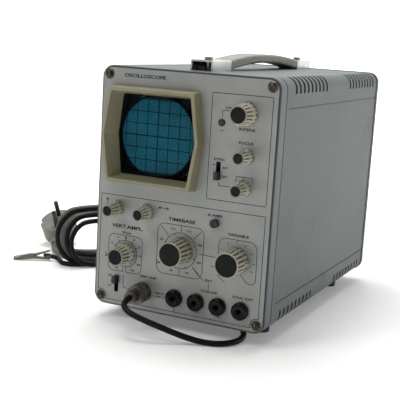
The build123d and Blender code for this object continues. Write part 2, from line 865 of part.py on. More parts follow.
# ---------------------------------------------------------------- inside
chassis_start = frame_depth + frame_spigot + chassis_end_gap
chassis_end = case_end - rear_spigot - chassis_end_gap
chassis_bottom = case_wall
chassis_half = case_bore_width / 2 - chassis_side_gap
with BuildPart() as chassis:
    with BuildSketch(facing(chassis_start)):
        with Locations((0, chassis_bottom)):
            Rectangle(2 * chassis_half, chassis_flange, align=(Align.CENTER, Align.MIN))
        with Locations((0, chassis_bottom + chassis_wall)):
            Rectangle(
                2 * (chassis_half - chassis_wall),
                chassis_flange,
                align=(Align.CENTER, Align.MIN),
                mode=Mode.SUBTRACT,
            )
    extrude(amount=-(chassis_end - chassis_start))
    with BuildSketch(facing(bulkhead_depth)):
        with Locations((0, chassis_bottom)):
            Rectangle(2 * chassis_half, bulkhead_height, align=(Align.CENTER, Align.MIN))
        with Locations((screen_x, screen_z)):
            Circle(shield_neck_radius + shield_wall, mode=Mode.SUBTRACT)
    extrude(amount=-chassis_wall)
    with BuildSketch(level(chassis_bottom)):
        with Locations([(x, y) for x in (-foot_x, foot_x) for y in foot_places]):
            Circle(m4_radius)
    extrude(amount=chassis_wall, mode=Mode.SUBTRACT)
finish(chassis, "chassis")

chassis_floor = chassis_bottom + chassis_wall
with BuildPart() as transformer:
    with BuildSketch(level(chassis_floor)):
        with Locations((transformer_x, transformer_depth)):
            RectangleRounded(core_width, core_depth, core_round)
    extrude(amount=core_height)
    with BuildSketch(level(chassis_floor + core_yoke)):
        with Locations((transformer_x, transformer_depth)):
            RectangleRounded(coil_width, coil_depth, coil_round)
    extrude(amount=core_height - 2 * core_yoke)
finish(transformer, "transformer")

with BuildPart() as circuit_boards:
    for across in (-1, 1):
        with BuildSketch(level(chassis_floor)):
            with Locations((across * board_x, board_middle)):
                Rectangle(board_thickness, board_length)
        extrude(amount=board_height)
        inner = Plane(
            origin=(across * (board_x - board_thickness / 2), panel_y, foot_height),
            x_dir=(0, 1, 0),
            z_dir=(-across, 0, 0),
        )
        with BuildSketch(inner):
            with Locations(
                [
                    (board_middle + capacitor_pitch * number, -across * (chassis_floor + capacitor_z))
                    for number in (-1, 0, 1)
                ]
            ):
                Circle(capacitor_radius)
        extrude(amount=capacitor_height)
finish(circuit_boards, "circuit_boards")

# ================================================================ handle, feet and fasteners
bracket_ends = [start + bracket_length for start in bracket_starts]
with BuildPart() as handle_brackets:
    with BuildSketch(level(body_height)):
        with Locations([(0, start) for start in bracket_starts]):
            Rectangle(handle_width, bracket_length, align=(Align.CENTER, Align.MIN))
    extrude(amount=bracket_height)
    fillet(
        handle_brackets.edges().filter_by(Axis.Y).group_by(Axis.Z)[-1], bracket_round
    )
    with BuildSketch(level(body_height)):
        with Locations([(0, start) for start in bracket_starts]):
            Rectangle(
                handle_width - 2 * bracket_wall, bracket_length, align=(Align.CENTER, Align.MIN)
            )
    extrude(amount=bracket_height - bracket_wall, mode=Mode.SUBTRACT)
    with BuildSketch(level(body_height + bracket_height)):
        with Locations([(0, y) for y in handle_screw_places]):
            Circle(m4_radius)
    extrude(amount=-bracket_wall, mode=Mode.SUBTRACT)
finish(handle_brackets, "handle_brackets")

grip_start = bracket_ends[0] + moving_gap
grip_end = bracket_starts[1] - moving_gap
grip_middle = (grip_start + grip_end) / 2
grip_rest = body_height + moving_gap / 2
grip_side = Plane(origin=(0, panel_y, foot_height), x_dir=(0, 1, 0), z_dir=(1, 0, 0))
tongue_width = handle_width - 2 * bracket_wall - 2 * moving_gap
with BuildPart() as handle_grip:
    with BuildSketch(grip_side):
        with BuildLine():
            ThreePointArc(
                (grip_start, body_height + bracket_height),
                (grip_middle, body_height + grip_crown),
                (grip_end, body_height + bracket_height),
            )
            Line((grip_end, body_height + bracket_height), (grip_end, grip_rest))
            ThreePointArc(
                (grip_end, grip_rest),
                (grip_middle, body_height + grip_crown - grip_thickness),
                (grip_start, grip_rest),
            )
            Line((grip_start, grip_rest), (grip_start, body_height + bracket_height))
        make_face()
    extrude(amount=handle_width / 2, both=True)
    fillet(handle_grip.edges().filter_by(GeomType.CIRCLE), grip_edge_round)
    with BuildSketch(level(grip_rest)):
        for inner_end, outward in ((grip_start, -1), (grip_end, 1)):
            with Locations((0, inner_end + outward * (tongue_reach - tongue_overlap) / 2)):
                Rectangle(tongue_width, tongue_reach + tongue_overlap)
    extrude(amount=tongue_thickness)
    with BuildSketch(level(grip_rest)):
        with Locations([(0, y) for y in handle_screw_places]):
            SlotOverall(tongue_slot, 2 * m4_radius + 2 * moving_gap, rotation=90)
    extrude(amount=tongue_thickness, mode=Mode.SUBTRACT)
finish(handle_grip, "handle_grip")

with BuildPart() as feet:
    with BuildSketch(level(0)):
        with Locations([(x, y) for x in (-foot_x, foot_x) for y in foot_places]):
            Circle(foot_radius)
    extrude(amount=-foot_height, taper=foot_taper)
    with BuildSketch(level(0)):
        with Locations([(x, y) for x in (-foot_x, foot_x) for y in foot_places]):
            Circle(m4_radius)
    extrude(amount=-foot_height, mode=Mode.SUBTRACT)
    with BuildSketch(level(-foot_seat)):
        with Locations([(x, y) for x in (-foot_x, foot_x) for y in foot_places]):
            Circle(m4_head_radius + fit_gap)
    extrude(amount=-(foot_height - foot_seat), mode=Mode.SUBTRACT)
finish(feet, "feet")


with BuildPart() as case_screws:
    with BuildSketch(level(body_height + bracket_height)):
        with Locations([(0, y) for y in handle_screw_places]):
            Circle(m4_head_radius)
    extrude(amount=m4_head_height)
    with BuildSketch(level(body_height + bracket_height)):
        with Locations([(0, y) for y in handle_screw_places]):
            Circle(m4_radius)
    extrude(amount=-m4_length)
    with BuildSketch(level(-foot_seat)):
        with Locations([(x, y) for x in (-foot_x, foot_x) for y in foot_places]):
            Circle(m4_head_radius)
    extrude(amount=-m4_head_height)
    with BuildSketch(level(-foot_seat)):
        with Locations([(x, y) for x in (-foot_x, foot_x) for y in foot_places]):
            Circle(m4_radius)
    extrude(amount=m4_length)
    with BuildSketch(level(body_height + bracket_height + m4_head_height)):
        with Locations([(0, y) for y in handle_screw_places]):
            Rectangle(cross_length, cross_width)
            Rectangle(cross_width, cross_length)
    extrude(amount=-cross_depth, mode=Mode.SUBTRACT)
    with BuildSketch(level(-foot_seat - m4_head_height)):
        with Locations([(x, y) for x in (-foot_x, foot_x) for y in foot_places]):
            Rectangle(cross_length, cross_width)
            Rectangle(cross_width, cross_length)
    extrude(amount=cross_depth, mode=Mode.SUBTRACT)
finish(case_screws, "case_screws")

with BuildPart() as cup_washers:
    with BuildSketch(facing(0)):
        with Locations(middle):
            with GridLocations(*corner_pitch, 2, 2):
                Circle(cup_radius)
                Circle(m3_radius + fit_gap, mode=Mode.SUBTRACT)
    extrude(amount=cup_thickness, taper=cup_taper)
finish(cup_washers, "cup_washers")

with BuildPart() as corner_screws:
    with BuildSketch(facing(-cup_thickness)):
        with Locations(middle):
            with GridLocations(*corner_pitch, 2, 2):
                Circle(m3_head_radius)
    extrude(amount=m3_head_height)
    fillet(corner_screws.faces().filter_by(Plane.XZ).group_by(Axis.Y)[0].edges(), m3_head_round)
    with BuildSketch(facing(-cup_thickness)):
        with Locations(middle):
            with GridLocations(*corner_pitch, 2, 2):
                Circle(m3_radius)
    extrude(amount=-m3_length)
    with BuildSketch(facing(-(cup_thickness + m3_head_height))):
        with Locations(middle):
            with GridLocations(*corner_pitch, 2, 2):
                Rectangle(cross_length, cross_width)
                Rectangle(cross_width, cross_length)
    extrude(amount=-cross_depth, mode=Mode.SUBTRACT)
finish(corner_screws, "corner_screws")

# ================================================================ test cable
with BuildPart() as input_plug:
    with BuildSketch(facing(-(input_flange_reach + fit_gap))):
        with Locations((input_x, input_z)):
            Circle(plug_shell_radius)
    extrude(amount=plug_shell_length)
    with BuildSketch(facing(-plug_shell_end)):
        with Locations((input_x, input_z)):
            Circle(plug_nut_radius)
    extrude(amount=plug_nut_length)
    with BuildSketch(facing(-(input_flange_reach + fit_gap))):
        with Locations((input_x, input_z)):
            Circle(input_barrel_radius + fit_gap)
    extrude(amount=input_barrel_reach - input_flange_reach, mode=Mode.SUBTRACT)
finish(input_plug, "input_plug")


def bend_radii(points):
    """Radius at each inner point: 0.45 of the shorter run over the tangent of half the turn."""
    radii = []
    for before, here, after in zip(points, points[1:], points[2:]):
        run_in = Vector(*here) - Vector(*before)
        run_out = Vector(*after) - Vector(*here)
        turn = radians(run_in.get_angle(run_out))
        radii.append(0.45 * min(run_in.length, run_out.length) / tan(turn / 2))
    return radii


def make_cord(name, routes, radius):
    """Round cord along straight runs and tangent arcs, one stretch for each route."""
    with BuildPart() as cord:
        for points in routes:
            radii = bend_radii(points)
            with BuildLine() as path:
                FilletPolyline(*points, radius=radii)
            with BuildSketch(Plane(path.line @ 0, z_dir=path.line % 0)):
                Circle(radius)
            sweep(path=path.line)
            print(f"{name} bend radii", [round(value, 1) for value in radii])
            print(f"{name} length {path.wire().length:.1f}")
    section = pi * radius**2
    print(f"{name} volume over section {cord.part.volume / section:.1f}")
    finish(cord, name)


plug_end = plug_shell_end + plug_nut_length
test_radius = test_cable_diameter / 2
coil_along = Vector(cos(radians(coil_heading)), sin(radians(coil_heading)), 0)
coil_axis = Vector(-coil_along.Y, coil_along.X, 0)


def bundle_plane(distance):
    """Upright plane of the cord bundle, at a distance along its axis: x runs along the bundle, y is up."""
    foot = Vector(coil_foot[0], panel_y + coil_foot[1], 0) + coil_axis * distance
    return Plane(origin=foot, x_dir=coil_along, z_dir=-coil_axis)


def make_coil(name, outer, inner, front, back):
    """Oval ring that encloses a cord's turns; the bundle stands on the long side of the ring."""
    with BuildPart() as coil:
        with BuildSketch(bundle_plane(front)):
            with Locations((coil_straight / 2, outer)):
                SlotCenterToCenter(coil_straight, 2 * outer)
                SlotCenterToCenter(coil_straight, 2 * inner, mode=Mode.SUBTRACT)
        extrude(amount=-(back - front))
    finish(coil, name)


clip_run = Vector(clip_end[0] - clip_tip[0], clip_end[1] - clip_tip[1], 0).normalized()
clip_foot = Vector(clip_tip[0], panel_y + clip_tip[1], 0)
ferrule_end = clip_foot + clip_run * (clip_ferrule_start + clip_ferrule_length)

test_route = [
    (input_x, panel_y - plug_end, foot_height + input_z),
    (-31.9, panel_y - 32.0, 27.4),
    (-25.0, panel_y - 39.5, 23.6),
    (-12.0, panel_y - 39.0, 19.2),
    (5.0, panel_y - 32.5, 13.0),
    (20.0, panel_y - 24.5, 6.6),
    (34.0, panel_y - 17.5, test_radius),
    (50.0, panel_y - 12.5, test_radius),
    (58.5, panel_y + 4.0, test_radius),
    (54.0, panel_y + 24.0, test_radius),
    (40.0, panel_y + 44.0, test_radius),
    (20.0, panel_y + 66.0, test_radius),
    (-6.0, panel_y + 86.0, test_radius),
    (-30.0, panel_y + 110.0, test_radius),
    (-52.0, panel_y + 136.0, test_radius),
    (-76.0, panel_y + 157.0, test_radius),
    (-98.0, panel_y + 172.0, test_radius),
    (-121.0, panel_y + 176.0, test_radius),
    (-138.0, panel_y + 168.0, test_radius),
    (-149.0, panel_y + 156.0, test_radius),
]
ferrule_inside = ferrule_end - clip_run * ferrule_grip
test_tail_route = [
    (-179.5, panel_y + 125.1, test_radius),
    (-191.9, panel_y + 121.0, test_radius),
    (-197.9, panel_y + 122.5, test_radius),
    (-205.9, panel_y + 129.8, 3.2),
    (-210.8, panel_y + 131.3, 4.0),
    (-216.0, panel_y + 130.6, 4.7),
    (ferrule_inside.X, ferrule_inside.Y, clip_ferrule_height),
]
make_cord("test_cable", [test_route, test_tail_route], test_radius)
make_coil("test_coil", test_coil_outer, test_coil_inner, test_coil_front, test_coil_back)

clip_side = Plane(origin=clip_foot, x_dir=clip_run, z_dir=(clip_run.Y, -clip_run.X, 0))
with BuildPart() as test_clip:
    with BuildSketch(clip_side):
        with BuildLine():
            Polyline(
                (0, 0.4),
                (clip_pivot, 2.0),
                (clip_length, 1.4),
                (clip_length, 2.6),
                (clip_pivot, 4.4),
                (clip_pivot - 3, 4.4),
                (2, 2.4),
                (0, 3.0),
                close=True,
            )
        make_face()
        with BuildLine():
            Polyline(
                (0, 3.4),
                (clip_pivot - 4, 7.2),
                (clip_pivot + 1, 7.4),
                (clip_length, 11.6),
                (clip_length, 10.4),
                (clip_pivot + 3, 6.0),
                (clip_pivot, 3.4),
                (clip_pivot - 4, 3.6),
                (3, 4.0),
                close=True,
            )
        make_face()
    extrude(amount=clip_width / 2, both=True)
    with BuildSketch(Plane(origin=clip_foot, z_dir=clip_run).offset(clip_ferrule_start)) as ferrule:
        with Locations(ferrule.workplanes[0].to_local_coords(clip_foot + Vector(0, 0, clip_ferrule_height))):
            Circle(clip_ferrule_radius)
    extrude(amount=clip_ferrule_length)
finish(test_clip, "test_clip")

# ================================================================ mains lead
gland_face = rear_panel_start + rear_panel_thickness
with BuildPart() as mains_gland:
    with BuildSketch(facing(gland_face)):
        with Locations((gland_x, gland_z)):
            Circle(gland_flange_radius)
    extrude(amount=-gland_flange_thickness)
    with BuildSketch(facing(gland_face + gland_flange_thickness)):
        with Locations((gland_x, gland_z)):
            Circle(gland_neck_radius)
    with BuildSketch(facing(gland_face + gland_flange_thickness + gland_tail_length)):
        with Locations((gland_x, gland_z)):
            Circle(gland_tail_radius)
    loft(ruled=True)
    with BuildSketch(facing(rear_panel_start - gland_inside)):
        with Locations((gland_x, gland_z)):
            Circle(gland_neck_radius)
    extrude(amount=-(rear_panel_thickness + gland_inside))
finish(mains_gland, "mains_gland")

mains_radius = mains_lead_diameter / 2
lead_start = gland_face + gland_flange_thickness + gland_tail_length
plug_face = Plane(
    origin=(mains_plug_face[0], panel_y + mains_plug_face[1], mains_plug_face[2]),
    x_dir=mains_plug_across,
    z_dir=mains_plug_aim,
)
relief_way = Vector(*mains_plug_exit).normalized()
relief_root = plug_face.offset(-mains_plug_length / 2).origin
relief_end = relief_root + relief_way * (mains_plug_radius + relief_length)
mains_route = [
    (gland_x, panel_y + lead_start, foot_height + gland_z),
    (gland_x, panel_y + 318.0, 33.5),
    (-50.0, panel_y + 337.0, 21.5),
    (-62.0, panel_y + 352.0, 9.5),
    (-80.0, panel_y + 358.0, mains_radius),
    (-98.0, panel_y + 355.0, mains_radius),
    (-112.0, panel_y + 344.0, mains_radius),
    (-120.0, panel_y + 327.0, mains_radius),
    (-122.0, panel_y + 307.0, mains_radius),
    (-118.0, panel_y + 284.0, mains_radius),
    (-113.0, panel_y + 260.0, mains_radius),
    (-116.0, panel_y + 236.0, mains_radius),
    (-128.0, panel_y + 214.0, mains_radius),
    (-143.0, panel_y + 193.0, mains_radius),
    (-159.6, panel_y + 173.0, mains_radius),
]
mains_tail_route = [
    (-197.0, panel_y + 143.0, mains_radius),
    (-213.0, panel_y + 147.0, mains_radius),
    (-228.0, panel_y + 155.5, mains_radius),
    (-238.5, panel_y + 166.5, mains_radius),
    (relief_end.X, relief_end.Y, relief_end.Z),
]
make_cord("mains_lead", [mains_route, mains_tail_route], mains_radius)
make_coil("mains_coil", mains_coil_outer, mains_coil_inner, mains_coil_front, mains_coil_back)

with BuildPart() as mains_plug:
    with BuildSketch(plug_face):
        Circle(mains_plug_radius)
    with BuildSketch(plug_face.offset(-mains_plug_length)):
        Circle(mains_plug_back_radius)
    loft(ruled=True)
    fillet(mains_plug.edges().filter_by(GeomType.CIRCLE).sort_by(Axis.Z)[0], mains_plug_round)
    fillet(mains_plug.edges().filter_by(GeomType.CIRCLE).sort_by(Axis.Z)[-1], mains_plug_rim_round)
    with BuildSketch(Plane(origin=relief_root + relief_way * relief_length, z_dir=relief_way)):
        Circle(relief_root_radius)
    with BuildSketch(Plane(origin=relief_end, z_dir=relief_way)):
        Circle(relief_end_radius)
    loft(ruled=True)
    with BuildSketch(plug_face):
        with GridLocations(2 * mains_plug_radius, 0, 2, 1):
            Rectangle(2 * earth_slot_depth, earth_slot_width)
    extrude(amount=-earth_slot_length, mode=Mode.SUBTRACT)
    with BuildSketch(plug_face):
        for crescent_start in crescent_starts:
            SlotArc(
                CenterArc((0, 0), crescent_radius, crescent_start, crescent_span), crescent_width
            )
    extrude(amount=-crescent_depth, mode=Mode.SUBTRACT)
finish(mains_plug, "mains_plug")

with BuildPart() as mains_pins:
    with BuildSketch(plug_face):
        with GridLocations(0, mains_pin_pitch, 1, 2):
            Circle(mains_pin_radius)
    extrude(amount=mains_pin_length)
    fillet(
        mains_pins.faces().filter_by(lambda face: face.normal_at().dot(plug_face.z_dir) > 0.99).edges(),
        mains_pin_round,
    )
finish(mains_pins, "mains_pins")
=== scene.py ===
import math

import bpy
import numpy as np
from mathutils import Matrix, Vector


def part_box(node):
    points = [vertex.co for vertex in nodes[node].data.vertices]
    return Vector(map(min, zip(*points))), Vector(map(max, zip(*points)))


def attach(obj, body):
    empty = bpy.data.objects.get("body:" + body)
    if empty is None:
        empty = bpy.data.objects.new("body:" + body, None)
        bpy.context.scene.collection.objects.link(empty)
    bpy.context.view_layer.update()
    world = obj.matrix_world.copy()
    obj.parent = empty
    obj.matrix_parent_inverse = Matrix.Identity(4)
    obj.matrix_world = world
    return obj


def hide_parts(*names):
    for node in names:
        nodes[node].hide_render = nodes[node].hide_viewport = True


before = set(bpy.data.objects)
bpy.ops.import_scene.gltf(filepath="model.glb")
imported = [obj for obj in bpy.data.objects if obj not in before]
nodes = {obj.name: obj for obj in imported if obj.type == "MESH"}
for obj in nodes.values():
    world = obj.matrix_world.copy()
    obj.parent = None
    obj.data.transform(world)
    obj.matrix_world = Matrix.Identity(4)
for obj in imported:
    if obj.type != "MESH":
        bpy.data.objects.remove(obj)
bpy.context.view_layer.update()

MM = 0.001
PANEL_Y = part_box("front_panel")[0].y / MM      # panel face, mm
BODY_BASE = 12.0                               # underside of the case above the floor, mm
TEST_RADIUS = 2.5
MAINS_RADIUS = 3.0


# ---------------------------------------------------------------- camera
CAMERA_ANGLES = (25.5946, 10.2694, 3.4124)     # turn, tilt and roll, degrees
CAMERA_PLACE = (0.33373, -0.78823, 0.24715)
CAMERA_LENS = 83.2
SENSOR_WIDTH = 36.0


def make_camera():
    """Camera from its three axes: right, up and the way back from the object."""
    turn, tilt, roll = (math.radians(a) for a in CAMERA_ANGLES)
    back = Vector((math.sin(turn) * math.cos(tilt), -math.cos(turn) * math.cos(tilt), math.sin(tilt)))
    level = Vector((math.cos(turn), math.sin(turn), 0.0))
    rise = back.cross(level)
    right = level * math.cos(roll) + rise * math.sin(roll)
    up = rise * math.cos(roll) - level * math.sin(roll)
    place = Matrix((right, up, back)).transposed().to_4x4()
    place.translation = Vector(CAMERA_PLACE)
    data = bpy.data.cameras.new("camera")
    data.sensor_width = SENSOR_WIDTH
    data.lens = CAMERA_LENS
    data.clip_start = 0.05
    camera = bpy.data.objects.new("camera", data)
    camera.matrix_world = place
    bpy.context.scene.collection.objects.link(camera)
    bpy.context.scene.camera = camera


# ---------------------------------------------------------------- cords
BUNDLE_FOOT = np.array([-171.0, PANEL_Y + 129.0, 0.0])
BUNDLE_HEADING = math.radians(47.7)
BUNDLE_ALONG = np.array([math.cos(BUNDLE_HEADING), math.sin(BUNDLE_HEADING), 0.0])
BUNDLE_AXIS = np.array([-math.sin(BUNDLE_HEADING), math.cos(BUNDLE_HEADING), 0.0])
BUNDLE_STRAIGHT = 50.0
TURN_STEP = 30                                 # degrees between a turn's points
CORD_STEPS = 6


def behind(points):
    """Points given as x, distance behind the panel face and height, put into the frame."""
    return np.array(points, float) + np.array([0.0, PANEL_Y, 0.0])


def hank(turns):
    """Oval turns of a cord: two half circles joined by straights, each turn easing into the next.
    A turn is its radius, its place along the bundle's axis, the shift of its left end and its
    lowest height. The path runs down the left, over the top and back along the bottom."""
    out = []
    for now, then in zip(turns, turns[1:]):
        sweep = np.arange(0, 360, TURN_STEP) + TURN_STEP / 2
        share = (sweep / 360)[:, None]
        radius, axial, shift, low = ((1 - share) * np.array(now) + share * np.array(then)).T
        bulge = radius / math.cos(math.radians(TURN_STEP / 2))
        angle = np.radians(-90.0 - sweep)
        along = np.where(sweep < 180, shift, BUNDLE_STRAIGHT) + bulge * np.cos(angle)
        height = low + radius + bulge * np.sin(angle)
        out.append(BUNDLE_FOOT + along[:, None] * BUNDLE_ALONG + axial[:, None] * BUNDLE_AXIS
                   + height[:, None] * np.array([0.0, 0.0, 1.0]))
    return np.concatenate(out)


def make_cord(name, points, radius):
    """Round cord on one open spline of order 3 whose control points are the points given."""
    data = bpy.data.curves.new(name, "CURVE")
    data.dimensions = "3D"
    spline = data.splines.new("NURBS")
    spline.points.add(len(points) - 1)
    spline.points.foreach_set("co", np.c_[points * MM, np.ones(len(points))].ravel())
    spline.order_u = 3
    spline.use_endpoint_u = True
    spline.resolution_u = CORD_STEPS
    spline.points.foreach_set("radius", np.full(len(points), radius * MM))
    data.bevel_depth = 1.0
    data.bevel_resolution = CORD_STEPS
    data.use_fill_caps = True
    cord = bpy.data.objects.new(name, data)
    bpy.context.scene.collection.objects.link(cord)
    return cord


test_route = behind([
    (-31.9, -21.8, 28.7), (-31.9, -32.0, 27.4), (-25.0, -39.5, 23.6), (-12.0, -39.0, 19.2),
    (5.0, -32.5, 13.0), (20.0, -24.5, 6.6), (34.0, -17.5, 2.5), (50.0, -12.5, 2.5),
    (58.5, 4.0, 2.5), (54.0, 24.0, 2.5), (40.0, 44.0, 2.5), (20.0, 66.0, 2.5),
    (-6.0, 86.0, 2.5), (-30.0, 110.0, 2.5), (-52.0, 136.0, 2.5), (-76.0, 157.0, 2.5),
    (-98.0, 172.0, 2.5), (-121.0, 176.0, 2.5), (-138.0, 168.0, 2.5), (-149.0, 156.0, 2.5)])
test_tail = behind([
    (-179.5, 125.1, 2.5), (-191.9, 121.0, 2.5), (-197.9, 122.5, 2.5), (-205.9, 129.8, 3.2),
    (-210.8, 131.3, 4.0), (-216.0, 130.6, 4.7), (-220.9, 127.3, 4.9)])
mains_route = behind([
    (-45.0, 297.0, 36.0), (-45.0, 318.0, 33.5), (-50.0, 337.0, 21.5), (-62.0, 352.0, 9.5),
    (-80.0, 358.0, 3.0), (-98.0, 355.0, 3.0), (-112.0, 344.0, 3.0), (-120.0, 327.0, 3.0),
    (-122.0, 307.0, 3.0), (-118.0, 284.0, 3.0), (-113.0, 260.0, 3.0), (-116.0, 236.0, 3.0),
    (-128.0, 214.0, 3.0), (-143.0, 193.0, 3.0), (-159.6, 173.0, 3.0)])
mains_tail = behind([
    (-197.0, 143.0, 3.0), (-213.0, 147.0, 3.0), (-228.0, 155.5, 3.0), (-238.5, 166.5, 3.0),
    (-243.96, 175.55, 5.67)])
# each turn: radius, place along the axis, shift of the left end, lowest height
test_turns = [(23.5, 0.0, 7.0, 2.5), (23.8, 2.6, 6.5, 2.5), (29.5, 9.4, 0.0, 2.5), (29.0, 8.4, 0.0, 2.5)]
mains_turns = [(25.5, 20.5, 3.0, 3.0), (24.5, 14.5, 5.0, 3.0), (22.0, 20.0, 1.0, 9.8), (22.5, 26.5, 0.0, 9.8),
               (29.3, 29.0, 0.0, 3.0)]
make_camera()
test_points = np.concatenate([test_route, hank(test_turns), test_tail])
mains_points = np.concatenate([mains_route, hank(mains_turns), mains_tail])
test_cord = make_cord("test_lead_cord", test_points, TEST_RADIUS)
mains_cord = make_cord("mains_lead_cord", mains_points, MAINS_RADIUS)
for cord, tubes in ((test_cord, ("test_cable", "test_coil")), (mains_cord, ("mains_lead", "mains_coil"))):
    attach(cord, "instrument")
    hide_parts(*tubes)


# ---------------------------------------------------------------- materials
def tint(code):
    """Linear colour from a screen colour written as six hex digits."""
    parts = [int(code[i:i + 2], 16) / 255 for i in (0, 2, 4)]
    return tuple(p / 12.92 if p <= 0.04045 else ((p + 0.055) / 1.055) ** 2.4 for p in parts) + (1.0,)


class Weave:
    """A node tree being written: each call adds one node, sets its values and links its inputs."""

    def __init__(self, tree):
        self.tree = tree

    def add(self, kind, settings=None, **inputs):
        """One node; i0, i1 and so on name its inputs by number, any other keyword by label."""
        made = self.tree.nodes.new(kind)
        for key, value in (settings or {}).items():
            setattr(made, key, value)
        for key, value in inputs.items():
            place = int(key[1:]) if key[0] == "i" and key[1:].isdigit() else key.replace("_", " ")
            socket = made.inputs[place]
            if isinstance(value, bpy.types.NodeSocket):
                self.tree.links.new(value, socket)
            else:
                socket.default_value = value
        return made

    def math(self, operation, a, b=0.0, clamp=False):
        return self.add("ShaderNodeMath", {"operation": operation, "use_clamp": clamp}, i0=a, i1=b).outputs[0]

    def radius(self, a, b):
        """Length of a flat vector from its two parts."""
        return self.math("SQRT", self.math("ADD", self.math("MULTIPLY", a, a), self.math("MULTIPLY", b, b)))

    def noise(self, vector, scale, detail=4.0, rough=0.55):
        return self.add("ShaderNodeTexNoise", None, Vector=vector, Scale=scale, Detail=detail,
                        Roughness=rough).outputs["Fac"]

    def dot(self, a, b):
        return self.add("ShaderNodeVectorMath", {"operation": "DOT_PRODUCT"}, i0=a, i1=b).outputs["Value"]

    def ramp(self, value, low, high):
        """The value's share of the way from low to high, held between 0 and 1, eased."""
        return self.add("ShaderNodeMapRange", {"interpolation_type": "SMOOTHSTEP"}, Value=value, i1=low,
                        i2=high).outputs[0]

    def mix(self, share, a, b, blend="MIX"):
        made = self.add("ShaderNodeMix", {"data_type": "RGBA", "blend_type": blend})
        for place, value in ((0, share), (6, a), (7, b)):
            if isinstance(value, bpy.types.NodeSocket):
                self.tree.links.new(value, made.inputs[place])
            else:
                made.inputs[place].default_value = value
        return made.outputs[2]

    def place(self, vector, move=(0, 0, 0), turn=(0, 0, 0), scale=(1, 1, 1)):
        return self.add("ShaderNodeMapping", None, Vector=vector, Location=move, Rotation=turn,
                        Scale=scale).outputs[0]


def new_group(name, inputs, outputs):
    """Shader node group with named sockets; returns its writer, its input node and its output node."""
    tree = bpy.data.node_groups.new(name, "ShaderNodeTree")
    kinds = {"color": "NodeSocketColor", "value": "NodeSocketFloat", "vector": "NodeSocketVector"}
    for label, kind in inputs:
        tree.interface.new_socket(label, in_out="INPUT", socket_type=kinds[kind])
    for label, kind in outputs:
        tree.interface.new_socket(label, in_out="OUTPUT", socket_type=kinds[kind])
    weave = Weave(tree)
    return weave, weave.add("NodeGroupInput").outputs, weave.add("NodeGroupOutput").inputs


def worn_group():
    """Mottled colour with dirt, dark specks, long scratches and rubbed edges, its roughness and its grain."""
    weave, given, out = new_group(
        "worn_surface",
        [("Vector", "vector"), ("Base", "color"), ("Shade", "color"), ("Dirt Color", "color"),
         ("Wear Color", "color"), ("Mottle Scale", "value"), ("Mottle", "value"), ("Dirt", "value"),
         ("Specks", "value"), ("Scratches", "value"), ("Wear", "value"), ("Grain Scale", "value"),
         ("Roughness", "value")],
        [("Color", "color"), ("Roughness", "value"), ("Height", "value")])
    here = given["Vector"]
    cloud = weave.ramp(weave.noise(here, given["Mottle Scale"], 6.0), 0.34, 0.68)
    colour = weave.mix(weave.math("MULTIPLY", cloud, given["Mottle"]), given["Base"], given["Shade"])
    film = weave.ramp(weave.noise(here, 21.0, 9.0, 0.68), 0.50, 0.74)
    film = weave.math("MULTIPLY", film, given["Dirt"])
    colour = weave.mix(film, colour, given["Dirt Color"])
    specks = weave.ramp(weave.noise(here, 520.0, 2.0, 0.5), 0.70, 0.76)
    patch = weave.ramp(weave.noise(weave.place(here, (0.3, 0.1, 0.7)), 14.0, 3.0), 0.45, 0.62)
    specks = weave.math("MULTIPLY", weave.math("MULTIPLY", specks, patch), given["Specks"])
    colour = weave.mix(specks, colour, given["Dirt Color"])
    marks = None
    for turn, long_side in (((0.3, 0.9, 0.2), (9, 9, 300)), ((1.1, -0.5, 0.6), (300, 8, 12))):
        line = weave.noise(weave.place(here, (0.2, 0.5, 0.1), turn, long_side), 1.0, 1.5, 0.4)
        line = weave.ramp(weave.math("ABSOLUTE", weave.math("SUBTRACT", line, 0.5)), 0.010, 0.003)
        marks = line if marks is None else weave.math("MAXIMUM", marks, line)
    gate = weave.ramp(weave.noise(here, 33.0, 3.0, 0.6), 0.56, 0.66)
    marks = weave.math("MULTIPLY", weave.math("MULTIPLY", marks, gate), given["Scratches"])
    colour = weave.mix(marks, colour, given["Wear Color"])
    soft = weave.add("ShaderNodeBevel", {"samples": 6}, Radius=0.0011).outputs[0]
    sharp = weave.add("ShaderNodeNewGeometry").outputs["Normal"]
    same = weave.dot(soft, sharp)
    edge = weave.ramp(same, 0.985, 0.88)
    ragged = weave.ramp(weave.noise(here, 240.0, 5.0, 0.7), 0.44, 0.60)
    edge = weave.math("MULTIPLY", weave.math("MULTIPLY", edge, ragged), given["Wear"])
    colour = weave.mix(edge, colour, given["Wear Color"])
    weave.tree.links.new(colour, out["Color"])
    grain = weave.noise(here, given["Grain Scale"], 3.0, 0.6)
    rough = weave.math("ADD", given["Roughness"], weave.math("MULTIPLY", film, 0.22))
    rough = weave.math("ADD", rough, weave.math("MULTIPLY", weave.math("SUBTRACT", grain, 0.5), 0.16))
    weave.tree.links.new(weave.math("ADD", rough, weave.math("MULTIPLY", edge, 0.1), True), out["Roughness"])
    dents = weave.math("SUBTRACT", grain, weave.math("MULTIPLY", marks, 1.2))
    weave.tree.links.new(dents, out["Height"])
    return weave.tree


